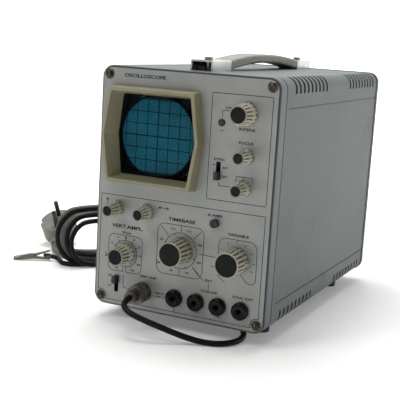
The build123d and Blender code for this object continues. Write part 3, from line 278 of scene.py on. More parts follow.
def flute_group():
    """Dirt and painted shade held in a knob's grooves: 1 at the groove's bottom, 0 on its ribs. The vector is
    centred on the knob's axis; Edge is the ribs' radius at the panel and Slope its change with distance ahead
    of it."""
    weave, given, out = new_group(
        "groove_dirt_and_shade",
        [("Vector", "vector"), ("Edge", "value"), ("Slope", "value"), ("Depth", "value")],
        [("Mask", "value")])
    split = weave.add("ShaderNodeSeparateXYZ", None, Vector=given["Vector"]).outputs
    reach = weave.radius(split[0], split[2])
    rib = weave.math("ADD", given["Edge"], weave.math("MULTIPLY", split[1], given["Slope"]))
    sunk = weave.math("DIVIDE", weave.math("SUBTRACT", rib, reach), given["Depth"])
    groove = weave.ramp(sunk, 0.15, 0.95)
    deep = weave.ramp(sunk, 2.6, 2.2)
    weave.tree.links.new(weave.math("MULTIPLY", groove, deep), out["Mask"])
    return weave.tree


def fleck_group():
    """Fine dust lying on dark glossy pieces, thickest in patches."""
    weave, given, out = new_group("dust", [("Vector", "vector"), ("Amount", "value")], [("Mask", "value")])
    fine = weave.ramp(weave.noise(given["Vector"], 900.0, 2.0, 0.6), 0.60, 0.72)
    veil = weave.ramp(weave.noise(given["Vector"], 60.0, 5.0, 0.65), 0.42, 0.72)
    total = weave.math("ADD", weave.math("MULTIPLY", fine, 0.6), weave.math("MULTIPLY", veil, 0.35))
    weave.tree.links.new(weave.math("MULTIPLY", total, given["Amount"], True), out["Mask"])
    return weave.tree


WORN, GROOVE, DUST = worn_group(), flute_group(), fleck_group()


def start_material(name):
    """Empty material with its surface shader; returns material, writer, shader and object coordinates."""
    material = bpy.data.materials.new(name)
    material.use_nodes = True
    weave = Weave(material.node_tree)
    shader = material.node_tree.nodes["Principled BSDF"]
    here = weave.add("ShaderNodeTexCoord").outputs["Object"]
    return material, weave, shader, here


def use_group(weave, tree, **inputs):
    """Outputs of a node group with its inputs set."""
    return weave.add("ShaderNodeGroup", {"node_tree": tree}, **inputs).outputs


def link_surface(weave, shader, colour, roughness, height, depth, strength=1.0):
    """Link a colour, a roughness and a bump of the height to the surface shader."""
    links = weave.tree.links
    links.new(colour, shader.inputs["Base Color"])
    links.new(roughness, shader.inputs["Roughness"])
    bump = weave.add("ShaderNodeBump", None, Height=height, Distance=depth, Strength=strength)
    links.new(bump.outputs[0], shader.inputs["Normal"])


def worn(name, base, shade, dirt="4a4336", rubbed="c8c8c4", mottle_scale=9.0, mottle=0.6, film=0.25,
         specks=0.3, scratches=0.3, wear=0.4, grain_scale=900.0, grain=0.00004, roughness=0.5, metallic=0.0,
         specular=0.5):
    """Painted, moulded or bare surface with its wear, all on object coordinates."""
    material, weave, shader, here = start_material(name)
    marks = use_group(weave, WORN, Vector=here, Base=tint(base), Shade=tint(shade), Dirt_Color=tint(dirt),
                      Wear_Color=tint(rubbed), Mottle_Scale=mottle_scale, Mottle=mottle, Dirt=film,
                      Specks=specks, Scratches=scratches, Wear=wear, Grain_Scale=grain_scale,
                      Roughness=roughness)
    link_surface(weave, shader, marks["Color"], marks["Roughness"], marks["Height"], grain)
    shader.inputs["Metallic"].default_value = metallic
    shader.inputs["Specular IOR Level"].default_value = specular
    return material


def knob_plastic(name, x, z, edge, slope, depth):
    """Cream knob plastic with brown dirt and painted shade in its grooves, centred on one knob's axis."""
    material, weave, shader, here = start_material(name)
    marks = use_group(weave, WORN, Vector=here, Base=tint("c4c0ae"), Shade=tint("aea892"),
                      Dirt_Color=tint("6b6450"), Wear_Color=tint("d0cdbf"), Mottle_Scale=90.0, Mottle=0.5,
                      Dirt=0.25, Specks=0.3, Scratches=0.2, Wear=0.35, Grain_Scale=1500.0, Roughness=0.38)
    centred = weave.place(here, (-x * MM, -PANEL_Y * MM, -z * MM))
    groove = use_group(weave, GROOVE, Vector=centred, Edge=edge * MM, Slope=slope, Depth=depth * MM)["Mask"]
    patchy = weave.ramp(weave.noise(here, 420.0, 4.0, 0.6), 0.25, 0.75)
    # dirt and painted shade: the grooves are darkened towards brown-black 3f3b2d
    held = weave.math("MULTIPLY", groove, weave.math("ADD", weave.math("MULTIPLY", patchy, 0.2), 0.72))
    rough = weave.math("ADD", marks["Roughness"], weave.math("MULTIPLY", held, 0.3))
    colour = weave.mix(held, marks["Color"], tint("3f3b2d"))
    link_surface(weave, shader, colour, rough, marks["Height"], 0.00002)
    return material


def gloss(name, base, amount, roughness, wave=0.00002):
    """Dark glossy moulding with a little dust and a faintly uneven skin."""
    material, weave, shader, here = start_material(name)
    dust = use_group(weave, DUST, Vector=here, Amount=amount)["Mask"]
    rough = weave.math("ADD", roughness, weave.math("MULTIPLY", dust, 0.6), True)
    skin = weave.noise(here, 260.0, 2.0, 0.5)
    link_surface(weave, shader, weave.mix(dust, tint(base), tint("8f9088")), rough, skin, wave)
    shader.inputs["Specular IOR Level"].default_value = 0.14
    return material


PANEL_CORNER = 8.6                             # radius of the panel's corners, mm


def panel_finish():
    """Satin aluminium: a very fine level brush, faint stains, specks and painted shade along its rim, where
    it meets the frame.
    """
    material, weave, shader, here = start_material("satin_panel")
    brushed = weave.noise(weave.place(here, scale=(30, 400, 3200)), 1.0, 3.0, 0.7)
    marks = use_group(weave, WORN, Vector=here, Base=tint("939592"), Shade=tint("838684"),
                      Dirt_Color=tint("77715f"), Wear_Color=tint("8b8880"), Mottle_Scale=24.0, Mottle=0.5,
                      Dirt=0.22, Specks=0.55, Scratches=0.4, Wear=0.3, Grain_Scale=1400.0, Roughness=0.42)
    fine = weave.math("MULTIPLY", weave.ramp(brushed, 0.3, 0.7), 0.12)
    streak = weave.mix(fine, marks["Color"], tint("a9aba8"))
    low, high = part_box("front_panel")
    middle = ((low.x + high.x) / 2 / MM, (low.z + high.z) / 2 / MM)
    half = ((high.x - low.x) / 2 / MM, (high.z - low.z) / 2 / MM)
    # painted shade: a dark band along the panel's outer edge, where the gap to the frame lies
    rim = weave.ramp(rounded_distance(weave, here, middle, half, PANEL_CORNER), -0.0006, -0.0002)
    streak = weave.mix(weave.math("MULTIPLY", rim, 0.8), streak, tint("2b2e2e"))
    skin = weave.math("ADD", weave.math("MULTIPLY", brushed, 0.6),
                      weave.math("MULTIPLY", marks["Height"], 0.4))
    link_surface(weave, shader, streak, marks["Roughness"], skin, 0.00002)
    shader.inputs["Metallic"].default_value = 0.35
    return material


SCREEN_X, SCREEN_Z = -28.7, BODY_BASE + 148.3  # middle of the tube face, mm


def tube_glass():
    """Tube face: teal phosphor, round but flattened above and below, on near-black navy glass."""
    material, weave, shader, here = start_material("tube_face")
    centred = weave.place(here, (-SCREEN_X * MM, 0.0, -SCREEN_Z * MM))
    split = weave.add("ShaderNodeSeparateXYZ", None, Vector=centred).outputs
    ring = weave.radius(split[0], split[2])
    rounded = weave.ramp(ring, 0.0345, 0.0325)
    flat = weave.ramp(weave.math("ABSOLUTE", split[2]), 0.0312, 0.0298)
    lit = weave.math("MULTIPLY", rounded, flat)
    powder = weave.ramp(weave.noise(here, 1900.0, 2.0, 0.5), 0.3, 0.7)
    cloud = weave.ramp(weave.noise(here, 34.0, 4.0), 0.35, 0.7)
    teal = weave.mix(weave.math("MULTIPLY", cloud, 0.5), tint("0a5c70"), tint("084a5c"))
    teal = weave.mix(weave.math("MULTIPLY", powder, 0.18), teal, tint("1a6677"))
    rough = weave.math("SUBTRACT", 0.32, weave.math("MULTIPLY", powder, 0.06))
    link_surface(weave, shader, weave.mix(lit, tint("030a18"), teal), rough, cloud, 0.00001, 0.3)
    shader.inputs["Specular IOR Level"].default_value = 0.1
    return material


def filter_plate():
    """Thin tinted clear plate with faint smears, seen through."""
    material, weave, shader, here = start_material("clear_filter")
    wiped = weave.place(here, turn=(0, 0.5, 0), scale=(1, 1, 4))
    smear = weave.ramp(weave.noise(wiped, 40.0, 5.0), 0.45, 0.75)
    rough = weave.math("ADD", 0.07, weave.math("MULTIPLY", smear, 0.16))
    link_surface(weave, shader, weave.mix(smear, tint("02080c"), tint("243c44")), rough, smear, 0.00001, 0.3)
    solid = weave.math("ADD", 0.05, weave.math("MULTIPLY", smear, 0.05))
    weave.tree.links.new(solid, shader.inputs["Alpha"])
    shader.inputs["Specular IOR Level"].default_value = 0.15
    return material


PLUG_FACE = (-254.0, PANEL_Y + 195.5, 28.4)    # middle of the mains plug's face, mm
PLUG_AIM = (0.04, -0.455, 0.89)                # the way the face looks


def plug_finish():
    """Grey plug moulding with painted shade, nearly black, where its face is cut away: behind the face and
    inside its rim.
    """
    material, weave, shader, here = start_material("plug_grey_moulding")
    marks = use_group(weave, WORN, Vector=here, Base=tint("7b7b70"), Shade=tint("66665e"),
                      Dirt_Color=tint("3a382f"), Wear_Color=tint("a9a99e"), Mottle_Scale=60.0, Mottle=0.6,
                      Dirt=0.55, Specks=0.5, Scratches=0.4, Wear=0.5, Grain_Scale=1100.0, Roughness=0.5)
    aim = Vector(PLUG_AIM).normalized()
    away = weave.add("ShaderNodeVectorMath", {"operation": "SUBTRACT"}, i0=here,
                     i1=tuple(c * MM for c in PLUG_FACE)).outputs[0]
    depth = weave.dot(away, tuple(aim))
    reach = weave.add("ShaderNodeVectorMath", {"operation": "LENGTH"}, i0=away).outputs["Value"]
    # painted shade: the openings in the face and the hollow behind it are coloured nearly black
    inside = weave.math("MULTIPLY", weave.ramp(depth, -0.0003, -0.0009), weave.ramp(reach, 0.0186, 0.0182))
    colour = weave.mix(inside, marks["Color"], tint("0a0a08"))
    link_surface(weave, shader, colour, marks["Roughness"], marks["Height"], 0.00004)
    return material


def paint_with_crease_shade(name, seams, **values):
    """Worn paint with painted shade along its creases and seams. A seam is its axis, its place along that,
    half its width, and where it starts and ends behind the panel face."""
    material = worn(name, **values)
    weave = Weave(material.node_tree)
    shader = material.node_tree.nodes["Principled BSDF"]
    here = weave.add("ShaderNodeTexCoord").outputs["Object"]
    split = weave.add("ShaderNodeSeparateXYZ", None, Vector=here).outputs
    dark = None
    for axis, place, half, start, end in seams:
        near = weave.math("ABSOLUTE", weave.math("SUBTRACT", split[axis], place * MM))
        line = weave.ramp(near, (half + 0.25) * MM, half * MM)
        started = weave.ramp(split[1], (PANEL_Y + start - 0.1) * MM, (PANEL_Y + start) * MM)
        going = weave.ramp(split[1], (PANEL_Y + end + 0.1) * MM, (PANEL_Y + end) * MM)
        line = weave.math("MULTIPLY", line, weave.math("MULTIPLY", started, going))
        dark = line if dark is None else weave.math("MAXIMUM", dark, line)
    colour = shader.inputs["Base Color"].links[0].from_socket
    # painted shade: the creases and the frame seam are darkened towards near-black 14181a
    crease_shaded = weave.mix(weave.math("MULTIPLY", dark, 0.85), colour, tint("14181a"))
    weave.tree.links.new(crease_shaded, shader.inputs["Base Color"])
    return material


def rounded_distance(weave, vector, middle, half, corner):
    """Distance outside a rectangle with round corners in x and z, all in mm; inside it is negative."""
    split = weave.add("ShaderNodeSeparateXYZ", None, Vector=vector).outputs
    out = [weave.math("SUBTRACT", weave.math("ABSOLUTE", weave.math("SUBTRACT", split[i], middle[k] * MM)),
                      (half[k] - corner) * MM) for k, i in enumerate((0, 2))]
    apart = [weave.math("MAXIMUM", value, 0.0) for value in out]
    bent = weave.radius(*apart)
    flat = weave.math("MINIMUM", weave.math("MAXIMUM", out[0], out[1]), 0.0)
    return weave.math("SUBTRACT", weave.math("ADD", bent, flat), corner * MM)


CREASES = (21.9, 180.4)                        # heights on the case, mm
FRAME_SEAM = PANEL_Y + 13.0                    # where the front frame meets the case, mm
# the case and the frame get painted shade along the case's pressed creases and along the seam between them
case_paint = paint_with_crease_shade(
    "case_hammer_grey",
    [(2, BODY_BASE + z, 0.25, 20.0, 300.0) for z in CREASES] + [(1, FRAME_SEAM, 0.5, 0.0, 20.0)],
    base="4f5958", shade="464f4d", dirt="4d4434", rubbed="3a3328", mottle_scale=7.0, mottle=0.7, film=0.24,
    specks=0.6, scratches=0.35, wear=0.35, grain_scale=1300.0, grain=0.00003, roughness=0.47)
frame_paint = paint_with_crease_shade(
    "frame_grey_paint", [(1, FRAME_SEAM, 0.6, 0.0, 20.0)],
    base="4c5658", shade="444e51", rubbed="303536", mottle_scale=22.0, mottle=0.6, film=0.2, specks=0.4,
    scratches=0.4, wear=0.5, grain_scale=1500.0, grain=0.00002, roughness=0.42)
hood = worn("hood_moulding", "89856b", "7b775c", dirt="5d573f", rubbed="c2be9f", mottle_scale=30.0,
            mottle=0.6, film=0.3, specks=0.4, scratches=0.3, wear=0.6, grain_scale=1100.0,
            grain=0.00003, roughness=0.42)
steel = worn("bare_steel", "b8b6ae", "8f8b7d", dirt="4b4232", rubbed="e4e2da", mottle_scale=120.0,
             mottle=0.6, film=0.5, specks=0.4, scratches=0.5, wear=0.4, grain_scale=1500.0,
             grain=0.00001, roughness=0.32, metallic=0.95)
brassy = worn("screw_steel_brassy", "4f4a3e", "2f2b23", dirt="3a3225", rubbed="d8d2bd",
              mottle_scale=300.0, mottle=0.7, film=0.6, specks=0.6, scratches=0.5, wear=0.5,
              grain_scale=1500.0, grain=0.00002, roughness=0.36, metallic=0.9)
chrome = worn("bracket_bright_metal", "c9c9c6", "a9a9a4", dirt="5d574a", rubbed="f0efea",
              mottle_scale=60.0, mottle=0.6, film=0.35, specks=0.4, scratches=0.5, wear=0.3,
              grain_scale=700.0, grain=0.00001, roughness=0.22, metallic=0.95)
plug_metal = worn("plug_dull_metal", "6a665f", "47443d", dirt="37332a", rubbed="bdb9a8",
                  mottle_scale=140.0, mottle=0.7, film=0.5, specks=0.6, scratches=0.5, wear=0.6,
                  grain_scale=1200.0, grain=0.00003, roughness=0.42, metallic=0.75)
grip_skin = worn("grip_moulding", "96978c", "87887d", dirt="67624f", rubbed="d2d2c8", mottle_scale=26.0,
                 mottle=0.6, film=0.3, specks=0.5, scratches=0.4, wear=0.4, grain_scale=800.0,
                 grain=0.00005, roughness=0.5)
rear_paint = worn("rear_grey_paint", "7f8889", "717b7d", rubbed="a7aaa8", mottle_scale=12.0, mottle=0.7,
                  film=0.3, specks=0.4, scratches=0.4, wear=0.4, grain_scale=1200.0, grain=0.00004,
                  roughness=0.55)
zinc = worn("zinc_sheet", "4b4b45", "3d3d38", dirt="2b281e", rubbed="7d7d76", mottle_scale=45.0,
            mottle=0.8, film=0.4, specks=0.4, scratches=0.4, wear=0.3, grain_scale=600.0, grain=0.00001,
            roughness=0.36, metallic=0.85)
iron = worn("transformer_iron", "4a4640", "35322e", dirt="6b4f33", rubbed="807a70", mottle_scale=70.0,
            mottle=0.7, film=0.5, specks=0.4, scratches=0.2, wear=0.4, grain_scale=900.0, grain=0.00004,
            roughness=0.6, metallic=0.5)
board = worn("board_laminate", "8a6a35", "6f5228", dirt="3f3020", rubbed="b59a62", mottle_scale=80.0,
             mottle=0.6, film=0.3, specks=0.5, scratches=0.2, wear=0.2, grain_scale=1500.0,
             grain=0.00002, roughness=0.45)
clip_steel = worn("clip_steel", "6c685d", "48453c", dirt="2a261e", rubbed="a9a69b", mottle_scale=160.0,
                  mottle=0.8, film=0.6, specks=0.6, scratches=0.5, wear=0.5, grain_scale=1200.0,
                  grain=0.00002, roughness=0.34, metallic=0.9)
pin_metal = worn("plug_pin_metal", "45433c", "2b2a26", dirt="1d1b17", rubbed="8c8979",
                 mottle_scale=200.0, mottle=0.7, film=0.5, specks=0.4, scratches=0.5, wear=0.3,
                 grain_scale=1400.0, grain=0.00001, roughness=0.3, metallic=0.9)
cable_grey = worn("mains_lead_sheath", "56554c", "474640", dirt="2f2c25", rubbed="a3a298",
                  mottle_scale=50.0, mottle=0.6, film=0.4, specks=0.4, scratches=0.3, wear=0.0,
                  grain_scale=900.0, grain=0.00004, roughness=0.5)
cable_black = worn("test_lead_sheath", "060708", "0c0d0e", dirt="24241f", rubbed="3b3e3f",
                   mottle_scale=60.0, mottle=0.7, film=0.25, specks=0.3, scratches=0.3, wear=0.0,
                   grain_scale=900.0, grain=0.00004, roughness=0.5, specular=0.18)
rubber = worn("foot_rubber", "232424", "2f3030", dirt="6e6a5f", rubbed="4a4b4b", mottle_scale=90.0,
              mottle=0.7, film=0.5, specks=0.5, scratches=0.2, wear=0.3, grain_scale=700.0,
              grain=0.00006, roughness=0.75)
trim_black = worn("trim_black_moulding", "191b1c", "242728", dirt="57564f", rubbed="4b4e50",
                  mottle_scale=60.0, mottle=0.6, film=0.35, specks=0.4, scratches=0.4, wear=0.5,
                  grain_scale=900.0, grain=0.00004, roughness=0.45)
slot_black = worn("switch_black_moulding", "121314", "1c1e20", dirt="4c4a42", rubbed="3f4142",
                  mottle_scale=160.0, mottle=0.5, film=0.4, specks=0.4, scratches=0.2, wear=0.5,
                  grain_scale=900.0, grain=0.00003, roughness=0.4)
cap_black = gloss("cap_polished_black", "030507", amount=0.05, roughness=0.08, wave=0.000004)
socket_black = gloss("socket_polished_black", "040505", amount=0.1, roughness=0.16)
lamp_lens = gloss("lamp_dark_lens", "2a1d1a", amount=0.4, roughness=0.15)

finishes = {
    case_paint: ["case_shell"], frame_paint: ["front_frame"], panel_finish(): ["front_panel"],
    hood: ["screen_bezel"], steel: ["case_screws"],
    brassy: ["corner_screws", "cup_washers"], clip_steel: ["test_clip"], pin_metal: ["mains_pins"],
    chrome: ["handle_brackets"],
    plug_metal: ["input_plug", "input_socket"], grip_skin: ["handle_grip"], rear_paint: ["rear_panel"],
    zinc: ["chassis", "crt_shield", "potentiometers", "rotary_switches"], iron: ["transformer"],
    board: ["circuit_boards"], plug_finish(): ["mains_plug"], rubber: ["feet", "mains_gland"],
    trim_black: ["rear_trim"],
    slot_black: ["slide_switches", "sync_slider", "coupling_slider", "horizontal_gain_trimmer"],
    socket_black: ["jack_sockets"], lamp_lens: ["pilot_lamp"], tube_glass(): ["crt_tube"],
    filter_plate(): ["graticule_plate"],
}
# dial middles, x and z up from the case's underside, mm
TIMEBASE, VARIABLE, VERTICAL_GAIN = (1.4, 57.6), (51.6, 57.0), (-50.4, 46.9)
# ribs' radius at the panel and at the front, reach and groove depth
KNOB_SIZES = {"large": (11.3, 10.3, 19.0, 0.95), "medium": (9.3, 7.3, 17.0, 0.72),
              "small": (6.2, 4.9, 16.5, 0.56)}
controls = [("intensity", 52.6, 174.8, "medium"), ("focus", 54.6, 141.6, "small"),
            ("trigger_level", 54.3, 116.0, "small"), ("vertical_position", -60.2, 85.0, "small"),
            ("horizontal_position", -31.2, 85.2, "small"), ("vertical_gain", *VERTICAL_GAIN, "medium"),
            ("timebase", *TIMEBASE, "large"), ("timebase_variable", *VARIABLE, "large")]
for name, x, z, size in controls:
    foot, front, reach, depth = KNOB_SIZES[size]
    slope = (foot - front) / reach
    plastic = knob_plastic(f"{name}_cream_plastic", x, BODY_BASE + z, foot, slope, depth)
    finishes[plastic] = [f"{name}_knob"]
    finishes.setdefault(cap_black, []).append(f"{name}_cap")
    finishes[steel].append(f"{name}_shaft")
for material, names in finishes.items():
    for name in names:
        nodes[name].data.materials.clear()
        nodes[name].data.materials.append(material)
test_cord.data.materials.append(cable_black)
mains_cord.data.materials.append(cable_grey)


# ---------------------------------------------------------------- printing on the panel
PRINT_DEPTH = 0.03
PRINT_FRONT = PANEL_Y - 0.01
LINE, MARK_LINE = 0.5, 0.75
SCREW_X, SCREW_Z = 72.8, 7.2                   # lower corner screws, mm
CORNER_STEPS = 7


def add_piece(name, vertices, faces, material, body="instrument", slot="trim_black"):
    """Mesh piece from whole arrays of points and faces, riding on a body."""
    mesh = bpy.data.meshes.new(name)
    mesh.from_pydata(np.asarray(vertices).tolist(), [], [list(f) for f in faces])
    mesh.materials.append(material)
    mesh.update()
    piece = bpy.data.objects.new(name, mesh)
    bpy.context.scene.collection.objects.link(piece)
    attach(piece, body)
    return piece


def ribbon(points, width, rear_y, closed=False):
    """Raised line along a path in x and z: each point is moved half the width both ways along its mitre,
    and the two edges are carried forward by the print's depth. Returns vertices and faces."""
    path = np.array(points, float)
    ahead = np.roll(path, -1, 0) - path
    behind_it = path - np.roll(path, 1, 0)
    if not closed:
        ahead[-1], behind_it[0] = behind_it[-1], ahead[0]
    unit_a = ahead / np.linalg.norm(ahead, axis=1, keepdims=True)
    unit_b = behind_it / np.linalg.norm(behind_it, axis=1, keepdims=True)
    side_a = np.c_[-unit_a[:, 1], unit_a[:, 0]]
    side_b = np.c_[-unit_b[:, 1], unit_b[:, 0]]
    mitre = side_a + side_b
    mitre /= np.maximum((mitre * side_a).sum(1, keepdims=True), 0.3)
    left, right = path + mitre * width / 2, path - mitre * width / 2
    n = len(path)
    flat = np.concatenate([left, right, right, left])
    y = np.repeat([rear_y - PRINT_DEPTH, rear_y - PRINT_DEPTH, rear_y, rear_y], n)
    vertices = np.c_[flat[:, 0], y, flat[:, 1] + BODY_BASE] * MM
    i = np.arange(n if closed else n - 1)
    j = (i + 1) % n
    faces = np.concatenate([np.c_[k * n + i, k * n + j, ((k + 1) % 4) * n + j, ((k + 1) % 4) * n + i]
                            for k in range(4)])
    if not closed:
        faces = np.concatenate([faces, [[0, n, 2 * n, 3 * n], [4 * n - 1, 3 * n - 1, 2 * n - 1, n - 1]]])
    return vertices, faces


def join_parts(parts):
    """One set of vertices and faces from several."""
    starts = np.cumsum([0] + [len(v) for v, _ in parts[:-1]])
    faces = np.concatenate([f + s for (_, f), s in zip(parts, starts)])
    return np.concatenate([v for v, _ in parts]), faces


def arc(x, z, radius, start, end, steps=CORNER_STEPS):
    """Points on a circle between two angles, in degrees anticlockwise from the right."""
    angle = np.radians(np.linspace(start, end, steps))
    return np.c_[x + radius * np.cos(angle), z + radius * np.sin(angle)]


def rounded_path(left, low, right, high, radius):
    """Rectangle with round corners, from the lower left corner anticlockwise."""
    corners = ((left + radius, low + radius, 180), (right - radius, low + radius, 270),
               (right - radius, high - radius, 0), (left + radius, high - radius, 90))
    return np.concatenate([arc(x, z, radius, a, a + 90) for x, z, a in corners])


def spokes(x, z, inner, outer, angles):
    """Short radial strokes at angles clockwise from straight up."""
    out = []
    for angle in np.radians(angles):
        way = np.array([math.sin(angle), math.cos(angle)])
        out.append([np.array([x, z]) + way * inner, np.array([x, z]) + way * outer])
    return out


ink = worn("panel_ink", "0c0d0e", "17191b", dirt="6d6a5e", rubbed="5a5a56", mottle_scale=160.0,
           mottle=0.6, film=0.35, specks=0.3, scratches=0.3, wear=0.0, grain_scale=1200.0,
           grain=0.000005, roughness=0.7, specular=0.1)
closed_lines = [
    rounded_path(22.4, 104.2, 74.1, 189.4, 1.6), arc(*VERTICAL_GAIN, 11.3, 0, 352.5, 48),
    arc(*TIMEBASE, 15.0, 0, 353, 52), rounded_path(-20.1, 36.3, 22.4, 78.8, 6.5)]
closed_lines.append(np.concatenate([
    [(-75.9, 13.0)], [(-75.9, 96.2)], [(74.4, 96.2)], [(74.4, 12.9)], arc(SCREW_X, SCREW_Z, 5.4, 73, 205, 12),
    [(66.5, 4.7)], [(-66.5, 4.7)], arc(-SCREW_X, SCREW_Z, 5.4, 335, 467, 12)]))
gap_square = np.concatenate([
    [(-52.2, 31.0)], arc(-61.9, 36.0, 5.0, 270, 180), arc(-61.9, 57.8, 5.0, 180, 90),
    arc(-39.4, 57.8, 5.0, 90, 0), arc(-39.4, 36.0, 5.0, 0, -90), [(-49.2, 31.0)]])
variable_outline = np.concatenate([
    [(35.9, 60.6)], [(36.0, 68.0)], arc(41.6, 69.0, 5.4, 180, 90), arc(62.6, 67.4, 6.8, 90, 0),
    [(69.7, 46.1)], arc(65.0, 44.6, 4.8, 0, -90), [(61.5, 41.0), (59.5, 43.4), (56.0, 47.0)]])
open_lines = [
    gap_square, [(-52.2, 31.0), (-52.2, 35.4)], [(-49.2, 31.0), (-49.2, 35.4)], variable_outline,
    arc(*VARIABLE, 20.5, 222, 246, 8), [(31.9, 171.2), (31.9, 176.0), (38.7, 176.1)],
    [(30.6, 160.1), (33.8, 160.1)], [(46.8, 120.9), (47.5, 125.2), (60.7, 125.2), (61.5, 121.5)],
    [(53.4, 125.2), (53.4, 123.6)], [(32.0, 118.7), (32.3, 116.0), (42.7, 116.1)],
    [(18.3, 57.6), (33.6, 57.3)], [(13.9, 45.5), (23.6, 36.2)], [(28.9, 35.0), (28.9, 29.4)],
    [(-51.5, 28.1), (-51.1, 17.5), (-47.0, 17.0)], [(-1.5, 9.2), (-1.5, 4.8)],
    [(-70.0, 87.2), (-70.0, 92.4)], [(-71.2, 90.9), (-70.0, 93.0), (-68.8, 90.9)],
    [(-20.4, 91.0), (-11.2, 91.0)], [(-18.6, 92.0), (-20.4, 91.0), (-18.6, 90.0)],
    [(-13.0, 92.0), (-11.2, 91.0), (-13.0, 90.0)], [(30.4, 49.4), (33.4, 49.4)],
    *spokes(*TIMEBASE, 15.8, 21.2, (0, 180)), *spokes(*TIMEBASE, 16.5, 26.0, (45, -45, 135)),
    *spokes(*TIMEBASE, 13.2, 15.0, (-112.5, -67.5, -22.5, 22.5, 67.5, 112.5, 157.5, 202.5)),
    *spokes(*VARIABLE, 14.2, 16.6, (-60, -30, 0, 30, 60, 90, 115)),
    *spokes(*VERTICAL_GAIN, 11.3, 12.8, (-150, -120, -90, -60, -30, 0, 30, 60, 90, 120, 150))]
marks = [((-70.2, 44.9), (-66.9, 43.5), (-70.2, 42.1)), ((-19.9, 46.0), (-16.6, 44.9), (-19.9, 43.8))]
parts = [ribbon(path, LINE, PRINT_FRONT, True) for path in closed_lines]
parts += [ribbon(path, LINE, PRINT_FRONT) for path in open_lines]
parts += [ribbon(path, MARK_LINE, PRINT_FRONT) for path in marks]
add_piece("panel_lines", *join_parts(parts), ink)

# words: text, left end, right end, middle height, letter height
words = [
    ("OSCILLOSCOPE", -58.4, -20.0, 197.2, 2.9), ("OFF", 34.3, 39.4, 178.3, 1.9),
    ("INTENS", 46.7, 60.7, 162.6, 2.2), ("FOCUS", 47.4, 60.0, 152.0, 2.2), ("SYNC", 26.7, 36.6, 137.0, 2.1),
    ("+", 26.0, 28.0, 132.3, 2.0), ("-", 26.0, 28.0, 127.8, 2.0), ("INT", 35.1, 39.3, 130.6, 1.8),
    ("EXT", 35.0, 39.4, 123.5, 1.8), ("VERT.AMPL.", -64.7, -34.2, 70.2, 2.8),
    ("V/cm", -54.7, -45.5, 65.2, 2.0), ("TIMEBASE", -11.1, 13.9, 83.0, 2.8),
    ("X-AMPL", 24.1, 38.4, 91.3, 2.1),
    ("VARIABLE", 43.1, 61.5, 78.0, 2.3), ("EXT", 25.6, 32.2, 36.8, 2.0), ("HOR.INP.", 22.4, 37.9, 27.6, 2.0),
    ("SYNC EXT", 50.8, 69.1, 27.5, 2.1), ("VERT.INP.", -35.6, -18.9, 30.2, 2.0),
    ("DC", 18.3, 21.9, 8.8, 1.8), ("AC", 37.9, 41.5, 8.2, 1.8), ("MAX.", -19.2, -11.2, 18.1, 1.8),
    ("500 V", -19.6, -10.8, 15.2, 1.8), ("DC", -66.2, -62.6, 26.0, 1.8), ("0", -64.0, -62.4, 21.5, 1.8),
    ("AC", -66.2, -62.6, 17.0, 1.8)]
DIAL_LETTER = 1.9
LETTER_WIDTH = 0.72                            # of its height
dial = [(-150, "50"), (-120, "20"), (-90, "10"), (-60, "5"), (-30, "2"), (0, "1"), (30, ".5"), (60, ".2"),
        (90, ".1"), (120, ".05"), (150, "CAL")]
sweeps = [(-112.5, "30"), (-67.5, "10"), (-22.5, "3 k"), (22.5, "1 k"), (67.5, "100"), (112.5, "300"),
          (157.5, "10"), (202.5, "30")]
for table, x, z, out in ((dial, -50.5, 46.9, 13.8), (sweeps, *TIMEBASE, 18.4)):
    for angle, word in table:
        way = np.array([math.sin(math.radians(angle)), math.cos(math.radians(angle))])
        way = way / max(abs(way)) * out * (0.96 if abs(angle) % 90 else 1.0)
        wide = LETTER_WIDTH * DIAL_LETTER * len(word)
        words.append((word, x + way[0] - wide / 2, x + way[0] + wide / 2, z + way[1], DIAL_LETTER))


def printed_words(name, words, rear_y, material):
    """All the words as one thin mesh: each is set at unit size, stretched to its own width and height,
    turned upright and moved to its place."""
    made = []
    for word, left, right, middle, high in words:
        data = bpy.data.curves.new("word", "FONT")
        data.body = word
        data.offset = 0.03
        data.extrude = 0.5
        data.resolution_u = 3
        temporary = bpy.data.objects.new("word", data)
        mesh = bpy.data.meshes.new_from_object(temporary)
        points = np.zeros(len(mesh.vertices) * 3)
        mesh.vertices.foreach_get("co", points)
        points = points.reshape(-1, 3)
        low, top = points.min(0), points.max(0)
        tall = 0.70 if min(word) in ".+-" else top[1] - low[1]
        scale = np.array([(right - left) / (top[0] - low[0]), high / tall, PRINT_DEPTH / (top[2] - low[2])])
        flat = (points - (low + top) / 2) * scale
        placed = np.c_[flat[:, 0] + (left + right) / 2, rear_y - PRINT_DEPTH / 2 - flat[:, 2],
                       flat[:, 1] + middle + BODY_BASE] * MM
        made.append((placed, [list(p.vertices) for p in mesh.polygons]))
        bpy.data.meshes.remove(mesh)
        bpy.data.objects.remove(temporary)
        bpy.data.curves.remove(data)
    starts = np.cumsum([0] + [len(v) for v, _ in made[:-1]])
    faces = [[int(i + s) for i in f] for (_, some), s in zip(made, starts) for f in some]
    return add_piece(name, np.concatenate([v for v, _ in made]), faces, material)


printed_words("panel_words", words, PRINT_FRONT, ink)

